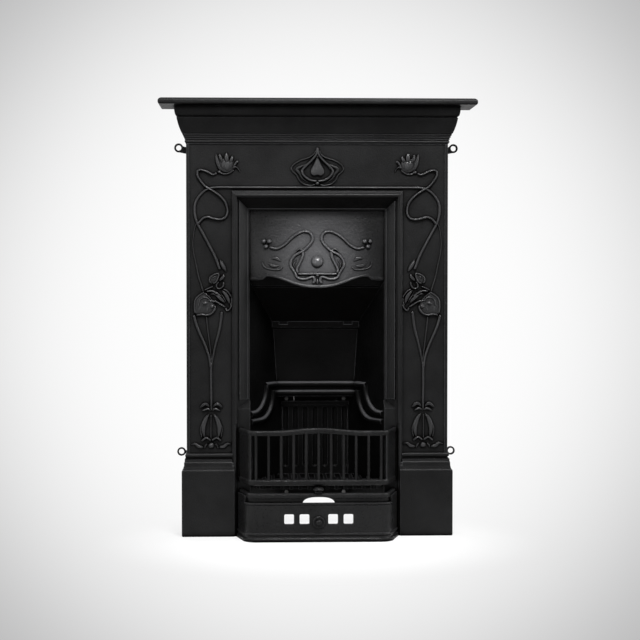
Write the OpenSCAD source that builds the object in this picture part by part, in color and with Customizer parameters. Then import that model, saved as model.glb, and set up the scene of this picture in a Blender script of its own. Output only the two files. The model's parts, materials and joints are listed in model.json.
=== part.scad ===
// Cast iron combination fireplace: mantel front, canopy, firebox, lift-out bars and ash-pit cover.
// Lengths in millimetres, X to the right, the front faces -Y, Z up.
// Every module works from the face of the front plate (y = 0) and the floor (z = 0);
// the finished model is then moved so that its origin is the middle of its base.

/* [Mantel shelf] */
// Overall width of the shelf
shelf_w = 762; // [720:1:860]
// Thickness of the shelf edge
shelf_t = 15.5; // [12:0.5:24]
// How far the shelf stands in front of the face
shelf_reach = 68; // [50:1:90]
// Set-back of the shelf's top arris
shelf_bevel = 11; // [6:0.5:14]

/* [Front casting] */
// Width of the front plate
body_w = 634; // [600:1:680]
// Height of the front plate, floor to the underside of the cornice
body_h = 951; // [920:1:1000]
// Depth of the side returns, face to wall
body_depth = 75; // [60:1:110]
// Thickness of the cast walls
wall_t = 6; // [5:0.5:8]
// Width of the raised outer border
border_w = 7.5; // [5:0.5:12]
// Depth that the ornamented panel is sunk
panel_sink = 2.5; // [1:0.5:4]
// Height of the bead at the foot of each jamb panel
foot_bead_z = 197; // [190:1:230]
// Radius of that bead
foot_bead_r = 5; // [3:0.5:7]

/* [Cornice] */
// Height of the cornice
cornice_h = 90; // [80:1:110]
// Projection of the cornice at its top
cornice_reach = 27.3; // [24:0.5:34]

/* [Plinths] */
// Projection of the plinths, front and side
plinth_reach = 12; // [8:0.5:18]
// Lap of each plinth over the architrave's foot
plinth_lap = 4.8; // [1:0.1:8]
// Height of a plinth's main block
plinth_block_h = 163; // [120:1:166]
// Full height of a plinth
plinth_h = 187; // [180:1:190]

/* [Opening] */
// Width over the architrave
arch_w = 413; // [400:1:430]
// Height to the top of the architrave
arch_h = 838.2; // [800:1:870]
// Width of the architrave's bead at the sides
arch_side = 13.8; // [10:0.2:20]
// Height of the architrave's bead at the top
arch_top = 18.7; // [14:0.1:24]
// Projection of the architrave
arch_reach = 6; // [3:0.5:9]
// Width of the splayed reveal in front view
reveal_w = 28; // [20:1:34]
// Depth of the splayed reveal
reveal_depth = 30; // [22:1:44]
// Height of the stop that ends the splay
stop_z = 310; // [290:1:330]
// Rise of the stop over the depth of the splay
stop_rise = 19; // [10:1:30]

/* [Wall lugs] */
// Drop of the upper wall lugs below the cornice
top_lug_drop = 5; // [4:1:60]
// Distance of the upper lug holes from the body side
top_lug_out = 21; // [18:1:28]
// Rise of the lower wall lugs above the plinths
low_lug_rise = 12; // [12:1:60]
// Distance of the lower lug holes from the body side
low_lug_out = 16; // [14:1:24]
// Radius of the lug holes
lug_hole_r = 6.5; // [4:0.5:7]
// Metal around the lug holes
lug_rim = 4.5; // [3.5:0.5:5]

/* [Canopy] */
// Height of the canopy's lip at the sides
lip_z = 621; // [600:1:650]
// Height of the lip's two shoulders
lip_shoulder_z = 630.5; // [615:0.5:660]
// Height of the lip at the middle
lip_mid_z = 603; // [580:1:640]
// Distance of each shoulder from the middle
lip_shoulder_x = 122; // [100:1:130]
// How far the canopy swells forward
canopy_swell = 36; // [15:1:50]
// Thickness of the canopy casting
canopy_t = 6; // [4:0.5:8]
// Roll of the canopy's lip
lip_roll = 3; // [1:0.5:5]

/* [Firebox] */
// Depth of the firebox, face to the back of its cheeks
box_depth = 182; // [176:1:220]
// Half width between the cheeks at the back
box_back_half = 79.5; // [70:0.5:90]
// Thickness of cheeks and firebacks
iron_t = 8; // [6:0.5:10]
// Height of the cheeks' lower edge
cheek_z = 72; // [60:1:100]
// Height of the upper fireback's top edge
back_top_z = 512; // [480:1:540]
// Height of the ledge under the upper fireback
ledge_z = 328; // [320:1:340]
// Face of the upper fireback above its reeds, from the face plane
back_y = 150; // [146:1:154]
// Forward lean of the upper fireback over its height
back_lean = 15; // [5:1:25]
// Height of the lower reed on the fireback
reed_low_z = 338; // [336:1:345]
// Height of the upper reed on the fireback
reed_top_z = 359.5; // [355:0.5:370]
// Radius of the reeds
reed_r = 7.5; // [5:0.5:9]
// Number of flutes on the lower fireback
flute_count = 7; // [3:1:9]
// Spacing of the flutes
flute_pitch = 24.8; // [16:0.2:25]
// Radius of the flutes
flute_r = 8.5; // [5:0.5:9.5]

/* [Damper] */
// Length of the damper flap, hinge to top edge
flap_len = 124; // [100:1:128]
// Slope of the closed flap, forward from upright
flap_slope = 43; // [35:1:50]
// Thickness of the flap
flap_t = 6; // [4:0.5:8]
// Radius of the hinge pins
hinge_pin_r = 4; // [3:0.5:5]
// Outside radius of the hinge knuckles
knuckle_r = 8; // [7:0.5:10]

/* [Front bars] */
// Depth of the basket in front of the face
bars_depth = 90; // [70:1:96]
// Set-back of the basket's sides from those of the ash-pit front, at the face
bars_in = 3; // [2:0.5:12]
// Narrowing of the basket at each side, from the face to its front
bars_splay = 28; // [15:1:40]
// Radius of the basket's corners
bars_corner_r = 25; // [15:1:35]
// Height of the top rail's centre
top_rail_z = 258.4; // [240:1:290]
// Height of the top rail's section
top_rail_h = 13; // [9:0.5:16]
// Rise of the top rail at its middle
rail_hump = 6.5; // [2:0.5:14]
// Half length of that rise
hump_half = 107; // [80:1:125]
// Height of the bottom rail's centre
low_rail_z = 141; // [141:1:160]
// Height of the bottom rail's section
low_rail_h = 14; // [9:0.5:14]
// Thickness of both rails, front to back
rail_t = 9; // [7:0.5:12]
// Number of upright bars
bar_count = 11; // [7:2:13]
// Spacing of the upright bars
bar_pitch = 29.8; // [22:0.1:30]
// Width of an upright bar
bar_w = 7; // [5:0.5:9]

/* [Ash pit] */
// Depth of the ash-pit front from the face
pit_depth = 97; // [93:1:110]
// Gap between the ash-pit front and each plinth
pit_gap = 5.7; // [4.7:0.1:10]
// Narrowing of the ash pit at each side, from the face to its front
pit_splay = 26; // [15:1:36]
// Radius of its corners
pit_corner_r = 30; // [20:1:40]
// Height of the hearth rail's centre
hearth_rail_z = 109; // [104:1:112]
// Height of the hearth rail's section
hearth_rail_h = 14; // [8:0.5:14]
// Height of the ash cover
cover_h = 93.5; // [80:0.5:96]
// Thickness of the ash cover and its wings
cover_t = 6; // [4:0.5:8]
// Width of a vent in the cover
vent_w = 23; // [16:1:28]
// Height of a vent
vent_h = 24; // [16:0.5:30]
// Height of the vents' centres
vent_z = 54.7; // [50:0.1:60]
// Distance of the inner vents from the middle
vent_inner_x = 34; // [30:1:36]
// Distance of the outer vents from the middle
vent_outer_x = 70.6; // [66:0.1:76]
// Travel of the air slide to each side
slide_travel = 11; // [6:1:11]
// Height of the air knob
knob_z = 47; // [42:1:60]
// Radius of the air knob's rose
knob_r = 15; // [13:0.5:17]

/* [Bottom grate] */
// Height of the grate's top face
grate_z = 133; // [131:0.5:133]
// Thickness of the grate
grate_t = 10; // [8:0.5:12]
// Spacing of the grate's bars
grate_pitch = 21.6; // [16:0.2:26]
// Width of a grate bar
grate_bar_w = 8; // [6:0.5:11]
// Radius of the riddling knob
riddle_knob_r = 12.5; // [9:0.5:14]

/* [Fasteners] */
// Radius of the bolts
bolt_r = 4; // [3:0.5:4]

/* [Hidden] */
$fn = 48;
seat_gap = 0.3;       // clearance where pieces lie against each other
hole_gap = 0.4;       // clearance around bolts, pegs and shanks
pin_gap = 0.05;       // running clearance of the hinge pins

body_half = body_w / 2;
shelf_half = shelf_w / 2;
arch_half = arch_w / 2;
opening_half = arch_half - arch_side;
opening_h = arch_h - arch_top;
throat_half = opening_half - reveal_w;
throat_h = opening_h - reveal_w;
shelf_z = body_h + cornice_h;
plinth_w = body_half - arch_half + plinth_lap;
pit_rear_half = arch_half - plinth_lap - pit_gap;
pit_front_half = pit_rear_half - pit_splay;
bars_rear_half = pit_rear_half - bars_in;
bars_front_half = bars_rear_half - bars_splay;
rim_back = reveal_depth + wall_t;          // back plane of the opening frame
rim_out = throat_half + 25;                // outer edge of the frame's rear rim
lap_w = 16;                                // lap of the opening frame behind the plate
stud_len = 11;
stud_z = [for (share = [0.31, 0.57, 0.83]) share * arch_h];      // studs up the frame's sides
stud_x = 0.44 * arch_half;                                       // and over its head
nut_r = 7;
nut_h = 5;
head_r = 7;
head_h = 5;

// Plan line of the firebox cheeks: from the frame's rim back to the fireback
cheek_run = box_depth - rim_back;
cheek_turn = atan2(throat_half - box_back_half, cheek_run);
cheek_len = cheek_run / cos(cheek_turn);
function cheek_x(y) = throat_half - (y - rim_back) * tan(cheek_turn);

// Overall reach, for the origin in the middle of the base
knob_front = pit_depth + seat_gap + 15;
back_reach = box_depth + wall_t;
mid_y = (back_reach - knob_front) / 2;

iron = "#3a3b3d";
dark_iron = "#2a2a2b";
steel = "#55565a";

// ---------------------------------------------------------------- helpers

// Moves a piece so that the origin is the middle of the fireplace's base
module to_frame() {
    translate([0, -mid_y, 0]) children();
}

// Points on an ellipse from angle a0 to a1
function arc(c, rx, ry, a0, a1, n) =
    [for (i = [0:n]) let (a = a0 + (a1 - a0) * i / n) [c[0] + rx * cos(a), c[1] + ry * sin(a)]];

function reversed(list) = [for (i = [len(list) - 1:-1:0]) list[i]];
function mirrored(list) = [for (p = reversed(list)) [-p[0], p[1]]];
function shifted(list, dx, dy) = [for (p = list) [p[0] + dx, p[1] + dy]];

// Extrudes a profile drawn in X and Z along Y, from y0 to y1
module along_y(y0, y1) {
    translate([0, y1, 0]) rotate([90, 0, 0]) linear_extrude(y1 - y0) children();
}

// Extrudes a profile drawn in Y and Z along X, from x0 to x1
module along_x(x0, x1) {
    translate([x0, 0, 0]) rotate([90, 0, 90]) linear_extrude(x1 - x0) children();
}

// A moulding mitred round the front and both returns: where the front and the
// side silhouette of its profile overlap. A profile point is [projection, height].
module mitred_moulding(profile, half, front, back) {
    high = profile[len(profile) - 1][1];
    low = profile[0][1];
    reach = half + max([for (p = profile) p[0]]) + 1;
    side = shifted(profile, half, 0);
    intersection() {
        along_y(-front - reach, back) polygon(concat(side, mirrored(side)));
        along_x(-reach, reach)
            polygon(concat([for (p = profile) [-front - p[0], p[1]]], [[back, high], [back, low]]));
    }
}

// A body whose half width and height both change with y: [y, half width, height]
module stepped_opening(steps, floor_z) {
    deep = [for (s = steps) s[0]];
    wide = max([for (s = steps) s[1]]) + 1;
    tall = max([for (s = steps) s[2]]) + 1;
    right = [for (s = steps) [s[1], s[0]]];
    intersection() {
        translate([0, 0, floor_z]) linear_extrude(tall - floor_z)
            polygon(concat(right, mirrored(right)));
        along_x(-wide, wide)
            polygon(concat([for (s = steps) [s[0], s[2]]],
                [[max(deep), floor_z - 1], [min(deep), floor_z - 1]]));
    }
}

// Bell-shaped rise of the basket's top rail
function hump(x) = abs(x) < hump_half ? rail_hump * pow(cos(90 * x / hump_half), 2) : 0;

// Bow-fronted plans, as [half width at the face, half width at the front, depth, corner radius]
bars_bow = [bars_rear_half, bars_front_half, bars_depth, bars_corner_r];
pit_bow = [pit_rear_half, pit_front_half, pit_depth, pit_corner_r];
bow_step = 9;                              // largest turn of one facet in a bow's round corner
function bow_turn(b) = atan2(b[2], b[0] - b[1]);
function bow_flat(b) = b[1] - b[3] * tan(bow_turn(b) / 2);

// A bow's straight front and its round corner from angle a0 to a1, swept with a section
// drawn as [outward offset, height]
module bow_front(b) {
    translate([bow_flat(b), -b[2], 0]) rotate([90, 0, -90]) linear_extrude(2 * bow_flat(b)) children();
}

module bow_corner(b, a0, a1) {
    translate([bow_flat(b), b[3] - b[2], 0]) rotate([0, 0, a0 - 90])
        rotate_extrude(angle = a1 - a0) translate([b[3], 0]) children();
}

// A bow's straight splayed side, from behind its corner to past the face plane
module bow_side(b) {
    turn = bow_turn(b);
    past = 6;
    x0 = bow_flat(b) + b[3] * sin(turn);
    x1 = b[0] + past * (b[0] - b[1]) / b[2];
    translate([x1, past, 0]) rotate([90, 0, turn - 90]) linear_extrude((x1 - x0) / cos(turn)) children();
}

// Plan path of a bow's right end from angle a0 on: [x, y, outward x, outward y, lift]
function bow_end(b, a0) = let (turn = bow_turn(b), past = 6, steps = ceil((turn - a0) / bow_step)) concat(
    [for (i = [0:steps]) let (a = a0 + (turn - a0) * i / steps)
        [bow_flat(b) + b[3] * sin(a), b[3] * (1 - cos(a)) - b[2], sin(a), -cos(a), 0]],
    [[b[0] + past * (b[0] - b[1]) / b[2], past, sin(turn), -cos(turn), 0]]);

// Plan path of a whole bow, lifted along its straight front by the given [x, lift] points
function bow_path(b, lifts) = concat(
    [for (p = reversed(bow_end(b, 0))) [-p[0], p[1], -p[2], p[3], 0]],
    [for (p = lifts) [p[0], -b[2], 0, -1, p[1]]],
    bow_end(b, 0));

// Sweeps a section, drawn as [outward offset, height], along a path
module swept(path, section) {
    n = len(section);
    last = (len(path) - 1) * n;
    points = [for (p = path) for (q = section) [p[0] + q[0] * p[2], p[1] + q[0] * p[3], q[1] + p[4]]];
    sides = [for (i = [0:n:last - n]) for (j = [0:n - 1])
        let (next = i + (j + 1) % n) each [[i + j, next, i + j + n], [next, next + n, i + j + n]]];
    ends = [[for (j = [n - 1:-1:0]) j], [for (j = [0:n - 1]) last + j]];
    polyhedron(points, concat(ends, sides));
}

// Rounded bar section, its outer face on the path: w deep, h high, centred at z
function bar_section(w, h, z, r) = concat(
    arc([-r, z - h / 2 + r], r, r, -90, 0, 2), arc([-r, z + h / 2 - r], r, r, 0, 90, 2),
    arc([r - w, z + h / 2 - r], r, r, 90, 180, 2), arc([r - w, z - h / 2 + r], r, r, 180, 270, 2));

// A hexagon-headed bolt along +Y: the head's seat at y = 0, the shank running back for len
module bolt_y(len) {
    rotate([90, 0, 0]) cylinder(h = head_h, r = head_r, $fn = 6);
    rotate([-90, 0, 0]) cylinder(h = len, r = bolt_r);
}

// A vertical hole or bolt shank
module shank_z(z0, z1, r) {
    translate([0, 0, z0]) cylinder(h = z1 - z0, r = r);
}

module both_sides() {
    children();
    mirror([1, 0, 0]) children();
}

// ---------------------------------------------------------------- mantel

function cornice_profile() = concat(
    [[0, 0], [0, 2]],
    arc([0, 6], 3.2, 4, -90, 90, 6),
    [[2.2, 11]],
    [for (i = [0:2]) each [[3.4 + 2.4 * i, 11 + 5.2 * i], [3.4 + 2.4 * i, 15 + 5.2 * i]]],
    [for (i = [0:6]) let (t = i / 6) [10.6 + 11.2 * t + 5.6 * t * (1 - t), 26.4 + 35.6 * t]],
    [[19.8, 63], [19.8, 65.4]],
    arc([cornice_reach - 4.5, 86], 4.5, 19.6, -80, 0, 5),
    [[cornice_reach, cornice_h]]);

bolt_x = 200;      // places of the bolts that join shelf, cornice and plate
bolt_y0 = 34;
bolt_lug = 28;

module cornice() {
    color(iron) to_frame() translate([0, 0, body_h]) {
        difference() {
            mitred_moulding(cornice_profile(), body_half, 0, body_depth);
            mitred_moulding([[-wall_t, -1], [-wall_t, 27], [cornice_reach - wall_t - 8, cornice_h - 16],
                [cornice_reach - wall_t - 2, cornice_h + 1]], body_half, 0, body_depth + 1);
        }
        // lugs inside the casting for the bolts above and below
        both_sides() for (lug = [[0, wall_t / 2], [cornice_h - wall_t, wall_t - cornice_reach]])
            difference() {
                translate([bolt_x - bolt_lug / 2, lug[1], lug[0]])
                    cube([bolt_lug, bolt_y0 + bolt_lug / 2 - lug[1], wall_t]);
                translate([bolt_x, bolt_y0, 0])
                    shank_z(lug[0] - 1, lug[0] + wall_t + 1, bolt_r + hole_gap);
            }
    }
}

function shelf_profile() = concat(
    [[-3.5, 0]], arc([-3.5, 4.5], 3.5, 4.5, -60, 0, 3),
    arc([-shelf_bevel, shelf_t / 2], shelf_bevel, shelf_t / 2, 0, 90, 6));

module mantel_shelf() {
    color(iron) to_frame() difference() {
        translate([0, 0, shelf_z])
            mitred_moulding(shelf_profile(), shelf_half, shelf_reach, body_depth);
        // hollow underside within the cornice
        translate([bolt_lug - bolt_x, wall_t, shelf_z - 1])
            cube([2 * (bolt_x - bolt_lug), body_depth - 2 * wall_t, shelf_t - wall_t + 1]);
        both_sides() translate([bolt_x, bolt_y0, 0])
            shank_z(shelf_z - 1, shelf_z + shelf_t - wall_t + 3, bolt_r + hole_gap);
    }
}

module shelf_bolts() {
    color(steel) to_frame() both_sides() translate([bolt_x, bolt_y0, shelf_z - wall_t]) {
        translate([0, 0, -head_h]) cylinder(h = head_h, r = head_r, $fn = 6);
        shank_z(0, shelf_t - 2, bolt_r);
    }
}

module cornice_bolts() {
    color(steel) to_frame() both_sides() translate([bolt_x, bolt_y0, body_h + wall_t]) {
        cylinder(h = head_h, r = head_r, $fn = 6);
        shank_z(-2 * wall_t - 8, 0, bolt_r);
        translate([0, 0, -2 * wall_t - nut_h]) cylinder(h = nut_h, r = nut_r, $fn = 6);
    }
}

// ---------------------------------------------------------------- front casting

// A wall lug: an eye with a gusset that runs down the side of the casting
module wall_lug(z, out, rim, drop) {
    y0 = body_depth - wall_t;
    eye_x = body_half + out;
    difference() {
        union() {
            along_y(y0, body_depth) translate([eye_x, z]) circle(lug_hole_r + rim);
            along_y(y0, body_depth) polygon([[body_half - 1, z + 1], [eye_x, z + lug_hole_r],
                [eye_x + 0.5 * (lug_hole_r + rim), z - 0.866 * (lug_hole_r + rim)],
                [body_half + 4, z - drop + 6], [body_half - 1, z - drop]]);
        }
        along_y(y0 - 1, body_depth + 1) translate([eye_x, z]) circle(lug_hole_r);
    }
}

module frame_studs(r, y0, y1) {
    x = arch_half + lap_w / 2;
    both_sides() for (z = stud_z) along_y(y0, y1) translate([x, z]) circle(r);
    both_sides() along_y(y0, y1) translate([stud_x, arch_h + lap_w / 2]) circle(r);
}

module front_plate() {
    hole_half = arch_half + seat_gap;
    panel_x = body_half - border_w;
    color(iron) to_frame() difference() {
        union() {
            // plate and side returns
            difference() {
                translate([-body_half, 0, 0]) cube([body_w, body_depth, body_h]);
                translate([-body_half + wall_t, wall_t, -1])
                    cube([body_w - 2 * wall_t, body_depth, body_h + 2]);
                // the sunk panel of frieze and jambs
                translate([-panel_x, -1, foot_bead_z]) cube([2 * panel_x, 1 + panel_sink, body_h]);
            }
            // bead at the foot of the jamb panels
            difference() {
                translate([0, 0, foot_bead_z]) mitred_moulding(
                    arc([0, 0], foot_bead_r - 1, foot_bead_r, -90, 90, 8), body_half, 0, body_depth);
                translate([-body_half + wall_t, wall_t, -1])
                    cube([body_w - 2 * wall_t, body_depth, body_h]);
            }
            both_sides() {
                wall_lug(body_h - top_lug_drop, top_lug_out, lug_rim, 20);
                wall_lug(plinth_h + low_lug_rise, low_lug_out, lug_rim - 0.5, 10);
                // lug for the bolt up to the cornice
                translate([bolt_x - bolt_lug / 2, wall_t - 1, body_h - wall_t])
                    cube([bolt_lug, bolt_y0 + 8, wall_t]);
            }
            frame_studs(bolt_r, wall_t - 1, wall_t + wall_t + stud_len);
        }
        // the opening
        translate([-hole_half, -20, -1]) cube([2 * hole_half, 20 + wall_t + 1, arch_h + seat_gap + 1]);
        both_sides() {
            translate([bolt_x, bolt_y0, 0]) shank_z(body_h - wall_t - 1, body_h + 1, bolt_r + hole_gap);
            plinth_bolt_places() along_y(-1, wall_t + 1) circle(bolt_r + hole_gap);
        }
    }
}

// The architrave, splayed reveal, stops and lower blocks in one casting
function arch_outside(grow) = [
    [-arch_reach, arch_half - 4.5 + grow, arch_h - 5.2 + grow],
    [-arch_reach + 4, arch_half + grow, arch_h + grow],
    [wall_t + 1, arch_half + grow, arch_h + grow]];

function arch_inside(grow) = [
    [-arch_reach - 1, opening_half + 5.3 + grow, opening_h + 6.5 + grow],
    [-arch_reach, opening_half + 5.3 + grow, opening_h + 6.5 + grow],
    [0, opening_half + grow, opening_h + grow],
    [reveal_depth, throat_half + grow, throat_h + grow],
    [rim_back + 1, throat_half + grow, throat_h + grow]];

module opening_frame() {
    shell = wall_t / cos(atan2(reveal_w, reveal_depth));
    color(iron) to_frame() difference() {
        union() {
            difference() {
                union() {
                    // architrave bead
                    stepped_opening(arch_outside(0), 0);
                    // lap behind the plate
                    translate([-arch_half - lap_w, wall_t, 0])
                        cube([arch_w + 2 * lap_w, wall_t, arch_h + lap_w]);
                    // shell of the splay
                    intersection() {
                        stepped_opening(arch_inside(shell), 0);
                        translate([-arch_half, 0, stop_z]) cube([arch_w, rim_back, arch_h]);
                    }
                    // rear rim that carries canopy and cheeks
                    translate([-rim_out, reveal_depth, 0]) cube([2 * rim_out, wall_t, throat_h + 25]);
                }
                stepped_opening(arch_inside(0), -1);
            }
            // flush blocks under the splay, their tops sloping up to the back
            both_sides() difference() {
                along_x(throat_half - 1.2, opening_half) polygon([[0, 0], [rim_back, 0],
                    [rim_back, stop_z + stop_rise], [reveal_depth, stop_z + stop_rise], [0, stop_z]]);
                along_x(throat_half - 1.2 + wall_t, opening_half + 1) polygon([[wall_t, -1],
                    [reveal_depth, -1], [reveal_depth, stop_z + stop_rise - 2 * wall_t],
                    [wall_t, stop_z - wall_t]]);
            }
        }
        frame_studs(bolt_r + hole_gap, wall_t - 1, 3 * wall_t);
        both_sides() {
            rim_bolt_places() along_y(reveal_depth - 1, rim_back + 1) circle(bolt_r + hole_gap);
            peg_places() along_y(-1, 3 * wall_t) circle(peg_r + 2 * seat_gap);
            pit_bolt_place() along_y(-1, wall_t + 1) circle(small_r + hole_gap);
        }
    }
}

module frame_nuts() {
    y = 2 * wall_t;
    color(steel) to_frame() difference() {
        union() {
            both_sides() for (z = stud_z) along_y(y, y + nut_h)
                translate([arch_half + lap_w / 2, z]) circle(nut_r, $fn = 6);
            both_sides() along_y(y, y + nut_h)
                translate([stud_x, arch_h + lap_w / 2]) circle(nut_r, $fn = 6);
        }
        frame_studs(bolt_r + hole_gap, y - 1, y + nut_h + 1);
    }
}

// ---------------------------------------------------------------- plinths

function plinth_profile() = concat(
    [[plinth_reach - 2, 0], [plinth_reach, 3]],
    arc([plinth_reach - 4, plinth_block_h - 6], 4, 6, 0, 80, 4),
    arc([plinth_reach - 1, plinth_block_h + 11], 4.5, 10, 215, 180, 3),
    [[plinth_reach - 5.5, plinth_h - 8], [plinth_reach - 7, plinth_h - 5],
     [plinth_reach - 7, plinth_h], [0, plinth_h]]);

module plinth_bolt_places() {
    x = body_half - plinth_w / 2;
    for (z = [0.32 * plinth_h, 0.7 * plinth_h]) translate([x, 0, z]) children();
}

module plinth() {
    inner_x = body_half - plinth_w;
    color(iron) to_frame() difference() {
        mitred_moulding(plinth_profile(), body_half, 0, body_depth);
        translate([-body_half, 0, -1]) cube([body_w, body_depth + 1, plinth_h + 2]);
        translate([-2 * body_half, -50, -1]) cube([2 * body_half + inner_x, 200, plinth_h + 2]);
        // room for the architrave, whose foot runs down behind the plinth
        stepped_opening([[-arch_reach - seat_gap, arch_half + seat_gap, 2 * plinth_h],
            [1, arch_half + seat_gap, 2 * plinth_h]], -1);
        plinth_bolt_places() along_y(-plinth_reach / 2 - 1, 1) circle(bolt_r + hole_gap);
    }
}

module right_plinth() {
    plinth();
}

module left_plinth() {
    mirror([1, 0, 0]) plinth();
}

module plinth_bolts() {
    color(steel) to_frame() both_sides() plinth_bolt_places()
        translate([0, wall_t, 0]) rotate([0, 0, 180]) bolt_y(wall_t + plinth_reach / 2);
}

// ---------------------------------------------------------------- canopy

canopy_half = throat_half - seat_gap;
canopy_top = throat_h - seat_gap;
canopy_y = reveal_depth + 2;
lip_flat_x = lip_shoulder_x + 16;

// Serpentine edge: level at the sides, a shoulder, then a sag to the middle
function sag(share) = lip_mid_z + (lip_shoulder_z - lip_mid_z) * pow(sin(90 * pow(share, 1.25)), 2);
function fall(share) = lip_z + (lip_shoulder_z - lip_z) * pow(cos(90 * share), 2);
function lip(x) = let (a = abs(x))
    a < lip_shoulder_x ? sag(a / lip_shoulder_x)
        : a < lip_flat_x ? fall((a - lip_shoulder_x) / (lip_flat_x - lip_shoulder_x)) : lip_z;

// Swell of the canopy's face, across (u from -1 to 1) and down (v from 0 to 1)
function swell(u, v) = canopy_swell * (1 - pow(abs(u), 2.4)) * pow(v, 1.25);

canopy_cols = 32;
// Rows down the face: [share of the height, rolled lip's extra projection]
canopy_rows = concat([for (i = [0:7]) [i * 0.12, 0]],
    [[0.95, 0], [0.965, lip_roll * 0.8], [0.98, lip_roll], [0.995, lip_roll * 0.6], [1, 0]]);

module canopy_shell() {
    n = canopy_cols + 1;
    m = len(canopy_rows);
    function face_point(i, j, back) =
        let (u = -1 + 2 * i / canopy_cols, x = u * canopy_half, v = canopy_rows[j][0],
             z = canopy_top + (lip(x) - canopy_top) * v,
             y = canopy_y - swell(u, v))
        [x, back ? y + canopy_t + (v > 0.9 ? 0 : 0.5) : y - canopy_rows[j][1], z];
    points = [for (back = [false, true]) for (j = [0:m - 1]) for (i = [0:n - 1]) face_point(i, j, back)];
    b = n * m;
    front = [for (j = [0:m - 2]) for (i = [0:n - 2])
        [j * n + i, j * n + i + 1, (j + 1) * n + i + 1, (j + 1) * n + i]];
    back = [for (j = [0:m - 2]) for (i = [0:n - 2])
        [b + j * n + i, b + (j + 1) * n + i, b + (j + 1) * n + i + 1, b + j * n + i + 1]];
    top = [for (i = [0:n - 2]) [i, b + i, b + i + 1, i + 1]];
    low = [for (i = [0:n - 2]) let (k = (m - 1) * n) [k + i, k + i + 1, b + k + i + 1, b + k + i]];
    left = [for (j = [0:m - 2]) [j * n, (j + 1) * n, b + (j + 1) * n, b + j * n]];
    right = [for (j = [0:m - 2]) let (k = n - 1)
        [j * n + k, b + j * n + k, b + (j + 1) * n + k, (j + 1) * n + k]];
    polyhedron(points, concat(front, back, top, low, left, right), convexity = 8);
}

canopy_bolt_z = [660, 760];

// Bolts through the rear rim: canopy above, cheeks below
module rim_bolt_places() {
    for (z = concat(canopy_bolt_z, cheek_bolt_z)) translate([rim_out - 10, 0, z]) children();
}

module canopy() {
    low = lip_z + 0.5;
    outer = [[rim_out, throat_h + 22], [rim_out, low]];
    inner = [[throat_half - 7, low], [throat_half - 7, throat_h - 8]];
    color(iron) to_frame() {
        canopy_shell();
        // flange bolted behind the frame's rim
        difference() {
            along_y(rim_back, rim_back + wall_t)
                polygon(concat(mirrored(outer), outer, inner, mirrored(inner)));
            both_sides() for (z = canopy_bolt_z) along_y(rim_back - 1, rim_back + wall_t + 1)
                translate([rim_out - 10, z]) circle(bolt_r + hole_gap);
        }
    }
}

module rim_bolts(heights) {
    both_sides() for (z = heights) translate([rim_out - 10, rim_back + wall_t, z])
        rotate([0, 0, 180]) bolt_y(2 * wall_t + 2);
}

module canopy_bolts() {
    color(steel) to_frame() rim_bolts(canopy_bolt_z);
}

module cheek_bolts() {
    color(steel) to_frame() rim_bolts(cheek_bolt_z);
}

// ---------------------------------------------------------------- firebox

cheek_bolt_z = [180, 400, 580];
cheek_top = lip_z;
flange_w = 26;                             // cheek's rear flange, inward of the box's back corner
flap_foot = [back_y - back_lean, back_top_z + 2];    // where the closed flap's underside starts, [y, z]
flap_dir = [-sin(flap_slope), cos(flap_slope)];
flap_out = [cos(flap_slope), sin(flap_slope)];
function flap_point(s, n) = flap_foot + s * flap_dir + n * flap_out;
// Distance along a cheek of a point at depth y
function cheek_u(y) = (y - rim_back) / cos(cheek_turn);

// Height of a cheek's sloping top edge, just under the closed flap
function slope_z(y) = flap_foot[1] + (flap_foot[0] - y) / tan(flap_slope) - seat_gap / sin(flap_slope);

// Half-round reed section, its flat side let into the plate: [across, out of the plate]
reed_section = concat([[reed_r, -2]], arc([0, 0], reed_r, reed_r, 0, 180, 8), [[-reed_r, -2]]);

// A level reed along the cheek
module reed_run(x0, x1, z) {
    translate([x0, 0, z]) rotate([90, 0, 90]) linear_extrude(x1 - x0)
        polygon([for (p = reed_section) [p[1], p[0]]]);
}

// Scooped reed on a cheek: from a point at z_back down a quarter round that ends level,
// drop lower, and on to the cheek's front edge
module scoop(reach, z_back, drop) {
    translate([reach - drop, 0, z_back]) rotate([90, 0, 0]) rotate([0, 0, -90])
        rotate_extrude(angle = 90) polygon([for (p = reed_section) [drop + p[0], -p[1]]]);
    reed_run(-20, reach - drop, z_back - drop);
}

// The cheek's plate, reeds and grate ledge; X runs back along it and Y points to the fire
module cheek_face() {
    rear_y = back_y + 2 * iron_t;
    top_u = round(cheek_u(back_y - 44));
    low_u = round(cheek_u(back_y - 2 * reed_r - 1));
    front_y = rim_back - 2 * iron_t;
    along_y(-iron_t, 0) polygon([[cheek_u(front_y), cheek_z], [cheek_u(front_y), slope_z(front_y)],
        [cheek_u(rear_y), slope_z(rear_y)], [cheek_u(rear_y), ledge_z - 1], [cheek_len + 2, ledge_z - 1],
        [cheek_len + 2, cheek_z]]);
    scoop(top_u, reed_top_z, 66);
    reed_run(top_u - reed_r + 2, cheek_u(back_y - reed_r - seat_gap), reed_top_z);
    scoop(low_u, reed_low_z, 64);
    translate([low_u, 0, reed_low_z]) linear_extrude(reed_r) polygon(reed_section);
    // ledge that carries the bottom grate
    translate([-20, -1, grate_z - grate_t - seat_gap - 6]) cube([20 + cheek_u(box_depth - 30), 9, 6]);
}

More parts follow.
